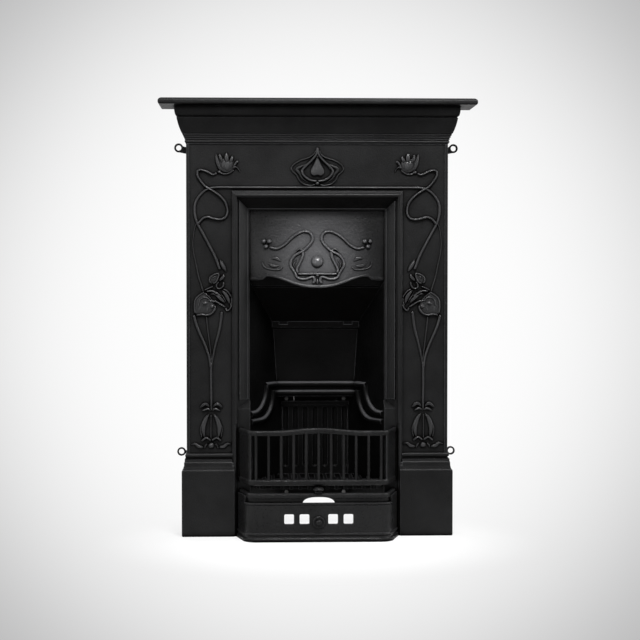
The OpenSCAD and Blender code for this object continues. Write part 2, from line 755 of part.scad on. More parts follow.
module cheek() {
    color(dark_iron) to_frame() difference() {
        union() {
            intersection() {
                translate([throat_half, rim_back, 0]) rotate([0, 0, 90 + cheek_turn]) cheek_face();
                translate([0, rim_back, 0]) cube([rim_out, cheek_run + wall_t - 1, cheek_top - seat_gap]);
            }
            // front flange against the frame's rim
            difference() {
                translate([throat_half + 2, rim_back, cheek_z + 1])
                    cube([rim_out - throat_half - 2, wall_t, cheek_top - seat_gap - cheek_z - 1]);
                for (z = cheek_bolt_z) along_y(rim_back - 1, rim_back + wall_t + 1)
                    translate([rim_out - 10, z]) circle(bolt_r + hole_gap);
            }
            // rear flange behind the fluted plate
            translate([box_back_half - flange_w, box_depth, cheek_z + 1])
                cube([flange_w + iron_t + 4, wall_t, ledge_z - cheek_z - 1]);
        }
        back_bolt_places() along_y(box_depth - 1, box_depth + wall_t + 1) circle(small_r + hole_gap);
        // sloping edge that the flap lies on
        along_x(0, rim_out + 1) polygon([[rim_back - 1, slope_z(rim_back - 1)],
            [back_reach, slope_z(back_reach)], [back_reach, body_h], [rim_back - 1, body_h]]);
    }
}

module right_cheek() {
    cheek();
}

module left_cheek() {
    mirror([1, 0, 0]) cheek();
}

// Space between the cheeks, for pieces that fit there
module between_cheeks(z0, z1, y1) {
    y0 = rim_back;
    g = seat_gap / cos(cheek_turn);
    right = [[cheek_x(y0) - g, y0], [cheek_x(y1) - g, y1]];
    translate([0, 0, z0]) linear_extrude(z1 - z0) polygon(concat(right, mirrored(right)));
}

hinge = flap_point(-2, flap_t / 2);        // hinge axis, [y, z]
hinge_room = cheek_x(hinge[0]);
ear_x = [hinge_room - 43, hinge_room - 13];    // inner faces of the hinge ears
ear_w = 8;
pin_head_r = hinge_pin_r + 1.6;
module hinge_bore(r, x0, x1) {
    along_x(x0, x1) translate(hinge) circle(r);
}

module upper_fireback() {
    foot_y = back_y + iron_t;
    top_y = back_y - back_lean;
    color(dark_iron) to_frame() difference() {
        union() {
            intersection() {
                along_x(-200, 200) union() {
                    // leaning plate and its ledge
                    polygon([[back_y, ledge_z], [back_y, reed_top_z + reed_r], [top_y, back_top_z],
                        [top_y + iron_t, back_top_z], [foot_y, reed_top_z + reed_r], [foot_y, ledge_z + 6],
                        [box_depth, ledge_z + 6], [box_depth, ledge_z]]);
                    // lip under the flap's lower edge
                    polygon([[top_y + 2, back_top_z - 14], [flap_point(6, -seat_gap)[0], back_top_z - 9],
                        flap_point(6, -seat_gap), flap_point(1, -seat_gap), [top_y + 2, back_top_z - 1]]);
                    translate([back_y, reed_low_z]) circle(reed_r);
                    translate([back_y, reed_top_z]) circle(reed_r);
                }
                between_cheeks(ledge_z, back_top_z + 20, box_depth);
            }
            // ledge end that lies on the cheeks' rear flanges
            translate([-box_back_half + 2, box_depth - 1, ledge_z])
                cube([2 * box_back_half - 4, wall_t + 1, 6]);
            // its turned-down edge between those flanges
            translate([flange_w + seat_gap - box_back_half, box_depth + seat_gap, ledge_z - lip_drop - 8])
                cube([2 * (box_back_half - flange_w - seat_gap), wall_t - seat_gap, lip_drop + 9]);
            // hinge ears
            both_sides() for (x = ear_x) {
                along_x(x, x + ear_w) translate(hinge) circle(knuckle_r);
                along_x(x, x + ear_w) polygon([[top_y, back_top_z - 2], [hinge[0] - knuckle_r, hinge[1]],
                    hinge, [top_y + iron_t, back_top_z - 2]]);
            }
        }
        both_sides() {
            hinge_bore(hinge_pin_r + pin_gap, ear_x[0] - 2, ear_x[1] + ear_w + 1);
            // room for the pin's head
            hinge_bore(pin_head_r + seat_gap, ear_x[1] + ear_w, ear_x[1] + ear_w + 4);
            // room for the flap's knuckles
            hinge_bore(knuckle_r + 2 * seat_gap, ear_x[0] + ear_w, ear_x[1]);
        }
        hinge_bore(lug_r + hole_gap, lug_x[0] - hole_gap, lug_x[1] + hole_gap);
    }
}

back_plate_y = box_depth - iron_t;
small_r = 0.75 * bolt_r;                   // shank of the smaller bolts
small_head_r = 0.75 * head_r;
ear_t = 4;
lip_drop = 13;                             // fluted plate's lip, below the ledge
// Bolts that hold the fluted plate: [x, z, seat depth]
back_bolts = [[box_back_half - 7, ledge_z - 7, box_depth - ear_t],
    [box_back_half - 7, cheek_z + 12, back_plate_y]];

module back_bolt_places() {
    for (p = back_bolts) translate([p[0], 0, p[1]]) children();
}

module fluted_fireback() {
    top = ledge_z - seat_gap;
    flute_low = grate_z + 22;
    flute_top = top - lip_drop - 20;
    color(dark_iron) to_frame() difference() {
        union() {
            intersection() {
                union() {
                    translate([-200, back_plate_y, cheek_z])
                        cube([400, iron_t, top - lip_drop - cheek_z]);
                    // raised lip along the top
                    along_x(-200, 200) polygon([[back_plate_y + 1, top - lip_drop - 12],
                        [back_plate_y - 3, top - lip_drop - 9], [back_plate_y - 3, top - lip_drop],
                        [back_plate_y + 1, top - lip_drop]]);
                }
                between_cheeks(cheek_z, top, box_depth);
            }
            // ears for the upper bolts
            both_sides() translate([box_back_half - 14, box_depth - ear_t, top - lip_drop - 3])
                cube([14 - seat_gap, ear_t, lip_drop + 3]);
        }
        for (i = [0:flute_count - 1])
            translate([(i - (flute_count - 1) / 2) * flute_pitch, back_plate_y - flute_r + 3.2, 0]) {
                shank_z(flute_low, flute_top, flute_r);
                translate([0, 0, flute_top]) sphere(flute_r);
                translate([0, 0, flute_low]) sphere(flute_r);
            }
        both_sides() back_bolt_places() along_y(back_plate_y - 5, box_depth + 1) circle(small_r + hole_gap);
    }
}

module small_bolt_y(len) {
    rotate([90, 0, 0]) cylinder(h = 4, r = small_head_r, $fn = 6);
    rotate([-90, 0, 0]) cylinder(h = len, r = small_r);
}

module fireback_bolts() {
    color(steel) to_frame() both_sides() for (p = back_bolts)
        translate([p[0], p[2], p[1]]) small_bolt_y(box_depth + wall_t - p[2]);
}

// ---------------------------------------------------------------- damper

lug_x = [ear_x[0] - 29, ear_x[0] - 5];     // lug under the flap's lower edge
lug_r = knuckle_r - 1;

module damper_flap() {
    half_low = cheek_x(flap_foot[0]) + iron_t;
    half_top = cheek_x(flap_foot[0] - flap_len * sin(flap_slope)) + iron_t - 1;
    knuckle = [ear_x[0] + ear_w + hole_gap, ear_x[1] - hole_gap];
    right = [[half_low, 2], [half_top, flap_len - 6], [half_top - 6, flap_len]];
    edge_y = flap_point(flap_len, 0)[0] + 1;
    edge_z = lip_shoulder_z + 9.5;
    color(dark_iron) to_frame() difference() {
        union() {
            translate([0, flap_foot[0], flap_foot[1]]) rotate([90 + flap_slope, 0, 0])
                translate([0, 0, -flap_t]) linear_extrude(flap_t) polygon(concat(right, mirrored(right)));
            // upright edge that closes the throat behind the canopy's lip
            along_x(-half_top - 3, half_top + 3) polygon([flap_point(flap_len - 6, 0.5), [edge_y, edge_z],
                [edge_y + flap_t, edge_z], flap_point(flap_len - 10, flap_t - 0.5)]);
            both_sides() along_x(knuckle[0], knuckle[1]) {
                translate(hinge) circle(knuckle_r);
                polygon([hinge, flap_point(4, 0), flap_point(12, 0), flap_point(12, flap_t)]);
            }
            along_x(lug_x[0], lug_x[1]) {
                translate(hinge) circle(lug_r);
                polygon([hinge, flap_point(4, 0), flap_point(12, 0), flap_point(12, flap_t)]);
            }
        }
        both_sides() {
            for (x = ear_x) hinge_bore(knuckle_r + 2 * seat_gap, x - hole_gap, x + ear_w + hole_gap);
            hinge_bore(hinge_pin_r + pin_gap, ear_x[0] - 2, ear_x[1] + ear_w);
            hinge_bore(pin_head_r + 2 * seat_gap, ear_x[1] + ear_w, ear_x[1] + ear_w + 4);
        }
    }
}

module hinge_pins() {
    color(steel) to_frame() both_sides() {
        hinge_bore(hinge_pin_r, ear_x[0] - 1, ear_x[1] + ear_w + 0.2);
        hinge_bore(pin_head_r, ear_x[1] + ear_w + 0.2, ear_x[1] + ear_w + 3);
    }
}

// ---------------------------------------------------------------- front bars

peg_r = 3.5;
plate_turn = 38;               // where the basket's side plates begin, round its corner
plate_in = 1.5;                // the plates' set-back from the rails' faces

module peg_places() {
    for (z = [175, 235]) translate([bars_rear_half - 6, 0, z]) children();
}

// Cuts off what would pass the face of the blocks or the architrave
module before_face() {
    difference() {
        children();
        translate([-300, -seat_gap, -1]) cube([600, 100, 400]);
        both_sides() translate([opening_half - 2 * seat_gap, -arch_reach - seat_gap, -1])
            cube([100, 100, 400]);
    }
}

// Level-sided bar, w deep, from z0 to z1, its face set in from the path
function flat_section(in, w, z0, z1) = [[-in - w, z0], [-in, z0], [-in, z1], [-in - w, z1]];

hump_path = bow_path(bars_bow, [for (i = [-8:8]) [hump_half * i / 8, hump(hump_half * i / 8)]]);

module front_bars() {
    color(iron) to_frame() {
        before_face() {
            swept(hump_path, bar_section(rail_t, top_rail_h, top_rail_z, 4));
            swept(bow_path(bars_bow, []), bar_section(rail_t, low_rail_h, low_rail_z, 4));
            // side plates between the rails
            both_sides() swept(bow_end(bars_bow, plate_turn),
                flat_section(plate_in, rail_t - 2 * plate_in, low_rail_z, top_rail_z));
        }
        for (i = [0:bar_count - 1]) {
            x = (i - (bar_count - 1) / 2) * bar_pitch;
            y = rail_t / 2 - bars_depth;
            translate([x, y, 0]) shank_z(low_rail_z, top_rail_z + hump(x), bar_w / 2);
        }
        // pegs that enter the frame's blocks
        both_sides() peg_places() {
            rotate([-90, 0, 0]) translate([0, 0, -5]) cylinder(h = wall_t + 13, r = peg_r);
        }
    }
}

// ---------------------------------------------------------------- ash pit

rail_in = 4;                   // set-back of the hearth rail from the wings' face
rail_w = 12;                   // width of the hearth rail
cover_turn = bow_turn(pit_bow) - 5;        // where the cover ends, just short of the fixed wing
notch_half = 39;
notch_top = hearth_rail_z - 2;
apron_in = cover_t + hole_gap; // set-back of the apron, behind the cover's head
apron_low = cover_h - 6;

// Outer face of cover and wings from the hearth up: [projection, height]
function base_moulding() = concat(
    [[2.5, 0]], arc([1, 5], 3, 5, -60, 90, 5), [[0.3, 11.5], [0.3, 14.5]],
    arc([0, 18.5], 2.5, 3.5, -70, 90, 4));

function cover_section() = concat([[-cover_t, 0]], base_moulding(),
    [[0, cover_h - 7], [-1, cover_h - 6.3], [-1, cover_h - 4.9]],
    arc([0, cover_h - 2.4], 1.5, 2.4, -80, 90, 4), [[-cover_t, cover_h]]);

// Wing that carries the hearth rail at each side of the cover
function wing_section() = concat([[-cover_t, 0]], base_moulding(),
    [[0, hearth_rail_z], [-cover_t, hearth_rail_z]]);

module pit_bolt_place() {
    translate([opening_half - 17, 0, hearth_rail_z - 29]) children();
}

module ash_pit_front() {
    flange_y = -seat_gap - wall_t;
    apron = flat_section(apron_in, 4, apron_low, hearth_rail_z);
    color(iron) to_frame() difference() {
        union() {
            before_face() {
                swept(bow_path(pit_bow, []),
                    shifted(bar_section(rail_w, hearth_rail_h, hearth_rail_z, 4), -rail_in, 0));
                // apron behind the head of the cover
                bow_front(pit_bow) polygon(apron);
                both_sides() bow_corner(pit_bow, 0, cover_turn) polygon(apron);
                both_sides() bow_side(pit_bow) polygon(wing_section());
            }
            both_sides() translate([opening_half - 27, flange_y, 60]) cube([25, wall_t, hearth_rail_z - 62]);
        }
        // arched notch at the middle
        along_y(-pit_depth - 10, -60) polygon([for (a = [0:10:180])
            [notch_half * sign(cos(a)) * pow(abs(cos(a)), 0.75),
             apron_low - 1 + (notch_top + 1 - apron_low) * pow(sin(a), 0.75)]]);
        both_sides() pit_bolt_place() along_y(flange_y - 1, 1) circle(small_r + hole_gap);
    }
}

module pit_bolts() {
    color(steel) to_frame() both_sides() pit_bolt_place()
        translate([0, -seat_gap - wall_t, 0]) small_bolt_y(2 * wall_t + 6);
}

vent_r = 3.5;
vents = [-vent_outer_x, -vent_inner_x, vent_inner_x, vent_outer_x];
shank_r = 3;

module vent_holes(y0, y1) {
    for (x = vents) along_y(y0, y1) translate([x, vent_z]) {
        square([vent_w, vent_h - 2 * vent_r], center = true);
        square([vent_w - 2 * vent_r, vent_h], center = true);
        for (i = [-1, 1]) for (k = [-1, 1])
            translate([i * (vent_w / 2 - vent_r), k * (vent_h / 2 - vent_r)]) circle(vent_r);
    }
}

module ash_cover() {
    slot = slide_travel + shank_r + hole_gap;
    color(iron) to_frame() difference() {
        translate([0, 0, seat_gap]) {
            bow_front(pit_bow) polygon(cover_section());
            both_sides() bow_corner(pit_bow, 0, cover_turn) polygon(cover_section());
        }
        vent_holes(-pit_depth - 10, 10 - pit_depth);
        // slot for the air knob's shank
        translate([-slot, -pit_depth - 10, knob_z - shank_r - hole_gap])
            cube([2 * slot, 20, 2 * (shank_r + hole_gap)]);
    }
}

// ---------------------------------------------------------------- air slide

slide_t = 3;
slide_h = vent_h + 11.5;
slide_half = vent_outer_x + vent_w / 2 + slide_travel + 3;
cover_back = cover_t - pit_depth;              // rear face of the cover
slide_y = cover_back + seat_gap;

module air_slide() {
    color(dark_iron) to_frame() difference() {
        translate([-slide_half, slide_y, vent_z - slide_h / 2]) cube([2 * slide_half, slide_t, slide_h]);
        vent_holes(slide_y - 1, slide_y + slide_t + 1);
        along_y(slide_y - 1, slide_y + slide_t + 1) translate([0, knob_z]) circle(shank_r + pin_gap);
    }
}

module slide_guides() {
    inner_z = slide_h / 2 + seat_gap;
    lip_y = slide_y + slide_t + seat_gap;
    color(dark_iron) to_frame() for (flip = [0, 1]) translate([0, 0, vent_z])
        mirror([0, 0, flip]) along_x(-slide_half - slide_travel, slide_half + slide_travel)
            polygon([[cover_back, inner_z], [lip_y, inner_z], [lip_y, inner_z - 4], [lip_y + 2, inner_z - 4],
                [lip_y + 2, inner_z + 6], [cover_back, inner_z + 6]]);
}

// Turned knob: axis through the cover's slot, rose in front of it
module air_knob() {
    rose = pit_depth + slide_y + seat_gap;       // rose's back, from the slide's front
    tip = knob_front + slide_y;
    color(iron) to_frame() translate([0, slide_y, knob_z]) rotate([90, 0, 0]) rotate_extrude()
        polygon(concat([[0, -slide_t - 2], [2 * shank_r, -slide_t - 2], [2 * shank_r, -slide_t],
            [shank_r, -slide_t], [shank_r, rose]],
            [[knob_r, rose], [knob_r, rose + 1.5]], arc([knob_r - 3, rose + 1.5], 3, 2, 0, 90, 3),
            [[6, rose + 4], [5.5, rose + 6]], arc([0, tip - 6], 8, 6, -30, 90, 8)));
}

// ---------------------------------------------------------------- bottom grate

grate_front = -75;
tongue_t = 3;
tongue_half = 8;
riddle_y = -89;

module bottom_grate() {
    rail_top = hearth_rail_z + hearth_rail_h / 2 + seat_gap;
    rear = box_depth - 24;
    low = grate_z - grate_t;
    side = [[cheek_x(rear) - 2, rear], [throat_half - 7, rim_back + 2], [throat_half - 8, 0],
        [throat_half - 20, grate_front + 18], [throat_half - 32, grate_front]];
    n = floor(throat_half / grate_pitch);
    color(dark_iron) to_frame() {
        translate([0, 0, low]) linear_extrude(grate_t) intersection() {
            polygon(concat(side, mirrored(side)));
            union() {
                for (i = [-n:n])
                    translate([i * grate_pitch - grate_bar_w / 2, -200]) square([grate_bar_w, 400]);
                for (y = [grate_front + 12, 42, rear - 10]) translate([-200, y]) square([400, 10]);
            }
        }
        // tongue that slides on the hearth rail and carries the knob
        translate([-tongue_half, grate_front, rail_top]) cube([2 * tongue_half, 12, grate_z - rail_top]);
        translate([-tongue_half, riddle_y - 5, rail_top])
            cube([2 * tongue_half, grate_front - riddle_y + 9, tongue_t]);
    }
}

module riddle_knob() {
    seat = hearth_rail_z + hearth_rail_h / 2 + seat_gap + tongue_t;
    cap = seat + 3;
    color(iron) to_frame() translate([0, riddle_y, 0]) rotate_extrude()
        polygon(concat([[0, seat], [4.5, seat], [4, cap - 0.5], [riddle_knob_r - 3, cap]],
            arc([0, cap + 2.5], riddle_knob_r, 6.5, -15, 90, 9)));
}

// ---------------------------------------------------------------- model

front_plate();
opening_frame();
cornice();
mantel_shelf();
left_plinth();
right_plinth();
canopy();
left_cheek();
right_cheek();
upper_fireback();
fluted_fireback();
damper_flap();
hinge_pins();
front_bars();
bottom_grate();
riddle_knob();
ash_pit_front();
ash_cover();
air_slide();
slide_guides();
air_knob();
shelf_bolts();
cornice_bolts();
plinth_bolts();
frame_nuts();
canopy_bolts();
cheek_bolts();
fireback_bolts();
pit_bolts();
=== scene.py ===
import json
import math

import bmesh
import bpy
import numpy as np
from mathutils import Matrix, Vector
from mathutils.bvhtree import BVHTree
from mathutils.geometry import tessellate_polygon


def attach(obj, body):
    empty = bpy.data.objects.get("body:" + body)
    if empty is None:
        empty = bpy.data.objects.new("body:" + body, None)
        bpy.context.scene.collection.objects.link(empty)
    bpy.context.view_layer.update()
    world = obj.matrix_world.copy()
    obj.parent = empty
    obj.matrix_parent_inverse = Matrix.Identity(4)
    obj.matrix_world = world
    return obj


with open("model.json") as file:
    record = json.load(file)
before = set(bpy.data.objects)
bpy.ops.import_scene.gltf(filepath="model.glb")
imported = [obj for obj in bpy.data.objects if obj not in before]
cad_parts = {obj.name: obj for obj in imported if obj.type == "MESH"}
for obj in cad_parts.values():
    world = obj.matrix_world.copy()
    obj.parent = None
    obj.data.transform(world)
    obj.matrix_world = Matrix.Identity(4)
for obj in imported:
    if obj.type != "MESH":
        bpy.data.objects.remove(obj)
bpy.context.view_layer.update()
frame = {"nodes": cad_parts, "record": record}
bpy.context.scene.view_settings.view_transform = "Standard"
nodes = frame["nodes"]
record = frame["record"]

MM = 0.001                         # the drawings are in millimetres, the scene is in metres
MID_Y = 37.85                      # from the face of the front plate back to the origin

# ------------------------------------------------------------------ camera
# The photograph's scale at the face of the front plate, and its framing
PICTURE = 640                      # pixels across and down
PX = 2.4235                        # millimetres per pixel at the face
PX_MID = 317.4                     # column of the object's middle
PX_EYE = 267.4                     # row of the eye's height
EYE_X = -140.0                     # the eye stands to the left of the middle,
EYE_D = 4000.0                     # this far in front of the face
EYE_Z = 653.0                      # and this high over the hearth
EYE = (EYE_X * MM, -(EYE_D + MID_Y) * MM, EYE_Z * MM)
FOCAL = EYE_D / PX                 # focal length in pixels
SENSOR = 36.0                      # sensor width, in the unit of the lens
CLIP_END = 100                     # metres


def add_camera():
    """Stands at the photograph's viewpoint, turned and tipped to its framing."""
    data = bpy.data.cameras.new("camera")
    data.sensor_width = SENSOR
    data.lens = FOCAL / PICTURE * SENSOR
    data.clip_end = CLIP_END
    cam = bpy.data.objects.new("camera", data)
    bpy.context.scene.collection.objects.link(cam)
    yaw = -(math.atan2(-EYE_X, EYE_D) + math.atan2(PICTURE / 2 - PX_MID, FOCAL))
    pitch = -math.atan2(PICTURE / 2 - PX_EYE, FOCAL)
    turn = Matrix.Rotation(yaw, 4, "Z") @ Matrix.Rotation(math.pi / 2 + pitch, 4, "X")
    cam.matrix_world = Matrix.Translation(EYE) @ turn
    bpy.context.scene.camera = cam


add_camera()

# ------------------------------------------------------------------ light
# Each lamp's place and aim, its width and height in metres, and its power in watts
LAMPS = {
    "key": ((0.2, -1.3, 2.3), (0, 0, 0.62), 0.5, 0.3, 60),
    "fill": ((-1.9, -2.6, 1.4), (0, 0, 0.5), 0.9, 1.4, 20),
    "top": ((0.0, -0.8, 2.9), (0, 0, 0.9), 2.0, 0.6, 20),
    "side_left": ((-2.6, -0.5, 1.5), (0, 0, 0.5), 0.8, 1.2, 16),
    "side_right": ((2.6, -0.5, 1.5), (0, 0, 0.5), 0.8, 1.2, 30),
    "rear_left": ((-1.5, 2.6, 1.9), (0, 0, 0.5), 1.0, 1.0, 40),
    "rear_right": ((1.5, 2.6, 1.9), (0, 0, 0.5), 1.0, 1.0, 40),
}


def area_light(name, place, aim, width, height, power):
    data = bpy.data.lights.new(name, "AREA")
    data.shape = "RECTANGLE"
    data.size = width
    data.size_y = height
    data.energy = power
    lamp = bpy.data.objects.new(name, data)
    lamp.location = place
    lamp.rotation_euler = (Vector(aim) - Vector(place)).to_track_quat("-Z", "Y").to_euler()
    bpy.context.scene.collection.objects.link(lamp)


for lamp_name, lamp_values in LAMPS.items():
    area_light(lamp_name, *lamp_values)

# ------------------------------------------------------------------ shader nodes


def new_tree(owner):
    owner.use_nodes = True
    owner.node_tree.nodes.clear()
    return owner.node_tree


def feed(tree, socket, value):
    """Connects another node's output to the socket, or sets the socket's own value."""
    if isinstance(value, bpy.types.NodeSocket):
        tree.links.new(value, socket)
    else:
        socket.default_value = value


def node(tree, kind, **values):
    """A new shader node, with its properties and inputs given by name."""
    n = tree.nodes.new("ShaderNode" + kind)
    for name, value in values.items():
        if hasattr(n, name):
            setattr(n, name, value)
        else:
            feed(tree, n.inputs[name], value)
    return n


def maths(tree, operation, a, b=0.5):
    n = node(tree, "Math", operation=operation)
    feed(tree, n.inputs[0], a)
    feed(tree, n.inputs[1], b)
    return n.outputs[0]


def vector_maths(tree, operation, a, b=(0, 0, 0)):
    """The vector that the operation gives, or its number for a product or a distance."""
    n = node(tree, "VectorMath", operation=operation)
    feed(tree, n.inputs[0], a)
    feed(tree, n.inputs[1], b)
    return n.outputs["Value" if operation in ("DOT_PRODUCT", "DISTANCE") else "Vector"]


def ramp(tree, value, low, high, to_low=0.0, to_high=1.0, kind="SMOOTHSTEP"):
    """Carries the value from low..high over to to_low..to_high, and holds it at the ends."""
    n = node(tree, "MapRange", interpolation_type=kind)
    feed(tree, n.inputs["Value"], value)
    n.inputs["From Min"].default_value = low
    n.inputs["From Max"].default_value = high
    n.inputs["To Min"].default_value = to_low
    n.inputs["To Max"].default_value = to_high
    return n.outputs[0]


def mix_colours(tree, share, a, b):
    """Colour a, with the given share of colour b. A Mix node's colours are inputs 6 and 7."""
    n = node(tree, "Mix", data_type="RGBA")
    feed(tree, n.inputs[0], share)
    feed(tree, n.inputs[6], a)
    feed(tree, n.inputs[7], b)
    return n.outputs[2]


def end_in_mix(tree, share, a, b, output):
    """Sends shader a, with the given share of shader b, to an output node of that kind."""
    mix = node(tree, "MixShader")
    feed(tree, mix.inputs[0], share)
    feed(tree, mix.inputs[1], a.outputs[0])
    feed(tree, mix.inputs[2], b.outputs[0])
    feed(tree, node(tree, output).inputs[0], mix.outputs[0])


# ------------------------------------------------------------------ backdrop
PAPER = (0.99, 0.99, 0.99, 1)      # the backdrop where a painted pool of light makes it bright,
PAPER_IN_PAINTED_SHADE = (0.493, 0.493, 0.496, 1)   # and where painted shade makes it dim
BRIGHT_Z = 0.53                    # height of the bright middle over the hearth, in metres
BRIGHT_AXIS = Vector((-EYE[0], -EYE[1], BRIGHT_Z - EYE[2])).normalized()
BRIGHT_TO = 0.0775                 # radians from that axis: bright as far as this,
DIM_FROM = 0.29                    # and dim from here on
SOFT_LIGHT = (0.97, 0.98, 1.0, 1)  # light that falls on the object from all round
SOFT_LEVEL = 0.2
FLOOR_HALF = 30                    # metres
FLOOR_PAINT = (0.86, 0.86, 0.86, 1)
SHADE_MID = (0, -0.12, 0)          # round this point the floor shows its own shading,
SHADE_NEAR = 0.1                   # most within this many metres,
SHADE_FAR = 0.55                   # and none beyond this
SHADE_GLOW = 0.55                  # share of the backdrop's colour where it shows most


def backdrop(tree, direction):
    """Paper colour seen in a direction from the photograph's viewpoint, with a painted pool of light in the
    middle and painted shade towards the edges.
    """
    unit = vector_maths(tree, "NORMALIZE", direction)
    near = vector_maths(tree, "DOT_PRODUCT", unit, BRIGHT_AXIS)
    # painted pool of light round the middle, painted shade outside it
    painted_light = ramp(tree, near, math.cos(DIM_FROM), math.cos(BRIGHT_TO))
    return mix_colours(tree, painted_light, PAPER_IN_PAINTED_SHADE, PAPER)


def seen_ray(tree):
    """1 for rays that show the backdrop: from the camera, in a reflection or through glass."""
    path = node(tree, "LightPath")
    direct = maths(tree, "MAXIMUM", path.outputs["Is Camera Ray"], path.outputs["Is Glossy Ray"])
    return maths(tree, "MAXIMUM", direct, path.outputs["Is Transmission Ray"])


def make_world():
    """Soft even light on the object, behind which the paper is seen."""
    world = bpy.data.worlds.new("studio")
    tree = new_tree(world)
    direction = node(tree, "TexCoord").outputs["Generated"]
    seen = node(tree, "Background", Color=backdrop(tree, direction), Strength=1.0)
    soft = node(tree, "Background", Color=SOFT_LIGHT, Strength=SOFT_LEVEL)
    end_in_mix(tree, seen_ray(tree), soft, seen, "OutputWorld")
    bpy.context.scene.world = world


def floor_material():
    """Pale paint that takes the object's shadow, and runs out into the backdrop's colour."""
    mat = bpy.data.materials.new("floor_paint")
    tree = new_tree(mat)
    place = node(tree, "NewGeometry").outputs["Position"]
    direction = vector_maths(tree, "SUBTRACT", place, EYE)
    paint = node(tree, "BsdfDiffuse", Color=FLOOR_PAINT)
    glow = node(tree, "Emission", Color=backdrop(tree, direction), Strength=1.0)
    away = vector_maths(tree, "DISTANCE", place, SHADE_MID)
    plain = ramp(tree, away, SHADE_NEAR, SHADE_FAR, to_low=SHADE_GLOW)
    share = maths(tree, "MULTIPLY", plain, seen_ray(tree))
    end_in_mix(tree, share, paint, glow, "OutputMaterial")
    return mat


def make_floor():
    mesh = bpy.data.meshes.new("floor")
    s = FLOOR_HALF
    mesh.from_pydata([(-s, -s, 0), (s, -s, 0), (s, s, 0), (-s, s, 0)], [], [(0, 1, 2, 3)])
    mesh.materials.append(floor_material())
    floor = bpy.data.objects.new("floor", mesh)
    bpy.context.scene.collection.objects.link(floor)


make_world()
make_floor()

# ------------------------------------------------------------------ materials
BLOTCH_SCALE = 9.0                 # blotches of polish, per metre
BLOTCH_DETAIL = 5.0
BLOTCH_ROUGHNESS = 0.6
GRAIN_DETAIL = 6.0
GRAIN_ROUGHNESS = 0.65
BLOTCH_SHARE = 0.7                 # the blotches' share in the colour,
GRAIN_SHARE = 0.3                  # and the grain's
DARK_AT = 0.35                     # their sum where the colour is darkest,
LIGHT_AT = 0.65                    # and lightest
PIT_SCALE = 0.55                   # the pits' scale for 1 of the grain's
PIT_DEPTH = 0.5                    # the pits' share in the bump, for 1 of the grain's
BUMP_DEPTH = 0.0008                # metres
SAMPLES = 6                        # rays for each look round an edge or a recess
EDGE_RADIUS = 0.0022               # metres beside an edge that are painted lighter, from wearing and as painted highlight
EDGE_NONE = 0.99                   # cosine of the edge's bend: not painted lighter,
EDGE_FULL = 0.85                   # and painted lighter most
WEAR_AND_HIGHLIGHT = (0.10, 0.10, 0.105, 1)      # iron where the black lead is gone by wearing, and under a painted highlight
# colour of the painted shade in recesses and on undersides
PAINTED_SHADE = (0.0015, 0.0014, 0.0013, 1)
RECESS_REACH = 0.014               # metres: faces this near make a recess
RECESS_SHADED = 0.5                 # open share of the view round a point: darkest painted shade,
RECESS_OPEN = 0.94                # and no painted shade
UNDER_SHADED = -0.85                # upward part of the normal: darkest painted shade,
UNDER_OPEN = -0.1                 # and no painted shade
UNDER_LEAST = 0.25                 # share that undersides in the darkest painted shade keep
HIGHLIGHT_MID = (0.0, -0.03, 0.69)    # middle of the painted highlight on the canopy, in metres
HIGHLIGHT_REACH = 0.165
REEDS_Z = 0.36                     # height of the reeds' sloping faces, in metres
REEDS_LIT_FULL = 0.08                    # metres over and under that: painted highlight as far as this,
REEDS_LIT_NONE = 0.12                    # and none from here on
REEDS_LIT_FLAT = 0.8                     # upward part of the normal: painted highlight in full,
REEDS_LIT_STEEP = 0.1                    # and none below this
SMOOTH_AT = 0.3                    # the grain's value where the finish is smoothest,
ROUGH_AT = 0.7                     # and roughest
SMOOTHER = 0.07                    # the grain makes the finish this much smoother,
ROUGHER = 0.09                     # and this much rougher
RUBBED_SMOOTHER = 0.08             # raised relief is this much smoother,
RUBBED_SHINE = 1.6                 # and this much shinier, for 1 of the iron's own shine


def facing_up(tree):
    """The upward part of a face's normal."""
    normal = node(tree, "NewGeometry").outputs["Normal"]
    return node(tree, "SeparateXYZ", Vector=normal).outputs["Z"]


def sand_cast(tree, place, grain):
    """Broad blotches, fine grain and pits of a casting made in sand."""
    blotch = node(tree, "TexNoise", Vector=place, Scale=BLOTCH_SCALE, Detail=BLOTCH_DETAIL,
                  Roughness=BLOTCH_ROUGHNESS)
    fine = node(tree, "TexNoise", Vector=place, Scale=grain, Detail=GRAIN_DETAIL,
                Roughness=GRAIN_ROUGHNESS)
    pits = node(tree, "TexVoronoi", Vector=place, Scale=grain * PIT_SCALE)
    return blotch.outputs["Fac"], fine.outputs["Fac"], pits.outputs["Distance"]


def casting_colour(tree, blotch, fine, dark, light):
    broad = maths(tree, "MULTIPLY", blotch, BLOTCH_SHARE)
    narrow = maths(tree, "MULTIPLY", fine, GRAIN_SHARE)
    shade = ramp(tree, maths(tree, "ADD", broad, narrow), DARK_AT, LIGHT_AT)
    return mix_colours(tree, shade, (*dark, 1), (*light, 1))


# Edges painted lighter: partly the black lead gone by wearing, partly a painted highlight on the arrises
def rubbed_and_lit_edges(tree, edge_wear_and_highlight):
    """Beside an edge the rounded normal bends away from the true one."""
    rounded = node(tree, "Bevel", samples=SAMPLES, Radius=EDGE_RADIUS).outputs[0]
    normal = node(tree, "NewGeometry").outputs["Normal"]
    bend = vector_maths(tree, "DOT_PRODUCT", rounded, normal)
    return maths(tree, "MULTIPLY", ramp(tree, bend, EDGE_NONE, EDGE_FULL), edge_wear_and_highlight)


# A painted highlight: the middle of the canopy is painted lighter, fading out within the given reach
def canopy_painted_highlight(tree, place, canopy_highlight):
    away = vector_maths(tree, "DISTANCE", place, HIGHLIGHT_MID)
    return maths(tree, "MULTIPLY", ramp(tree, away, HIGHLIGHT_REACH, 0.0), canopy_highlight)


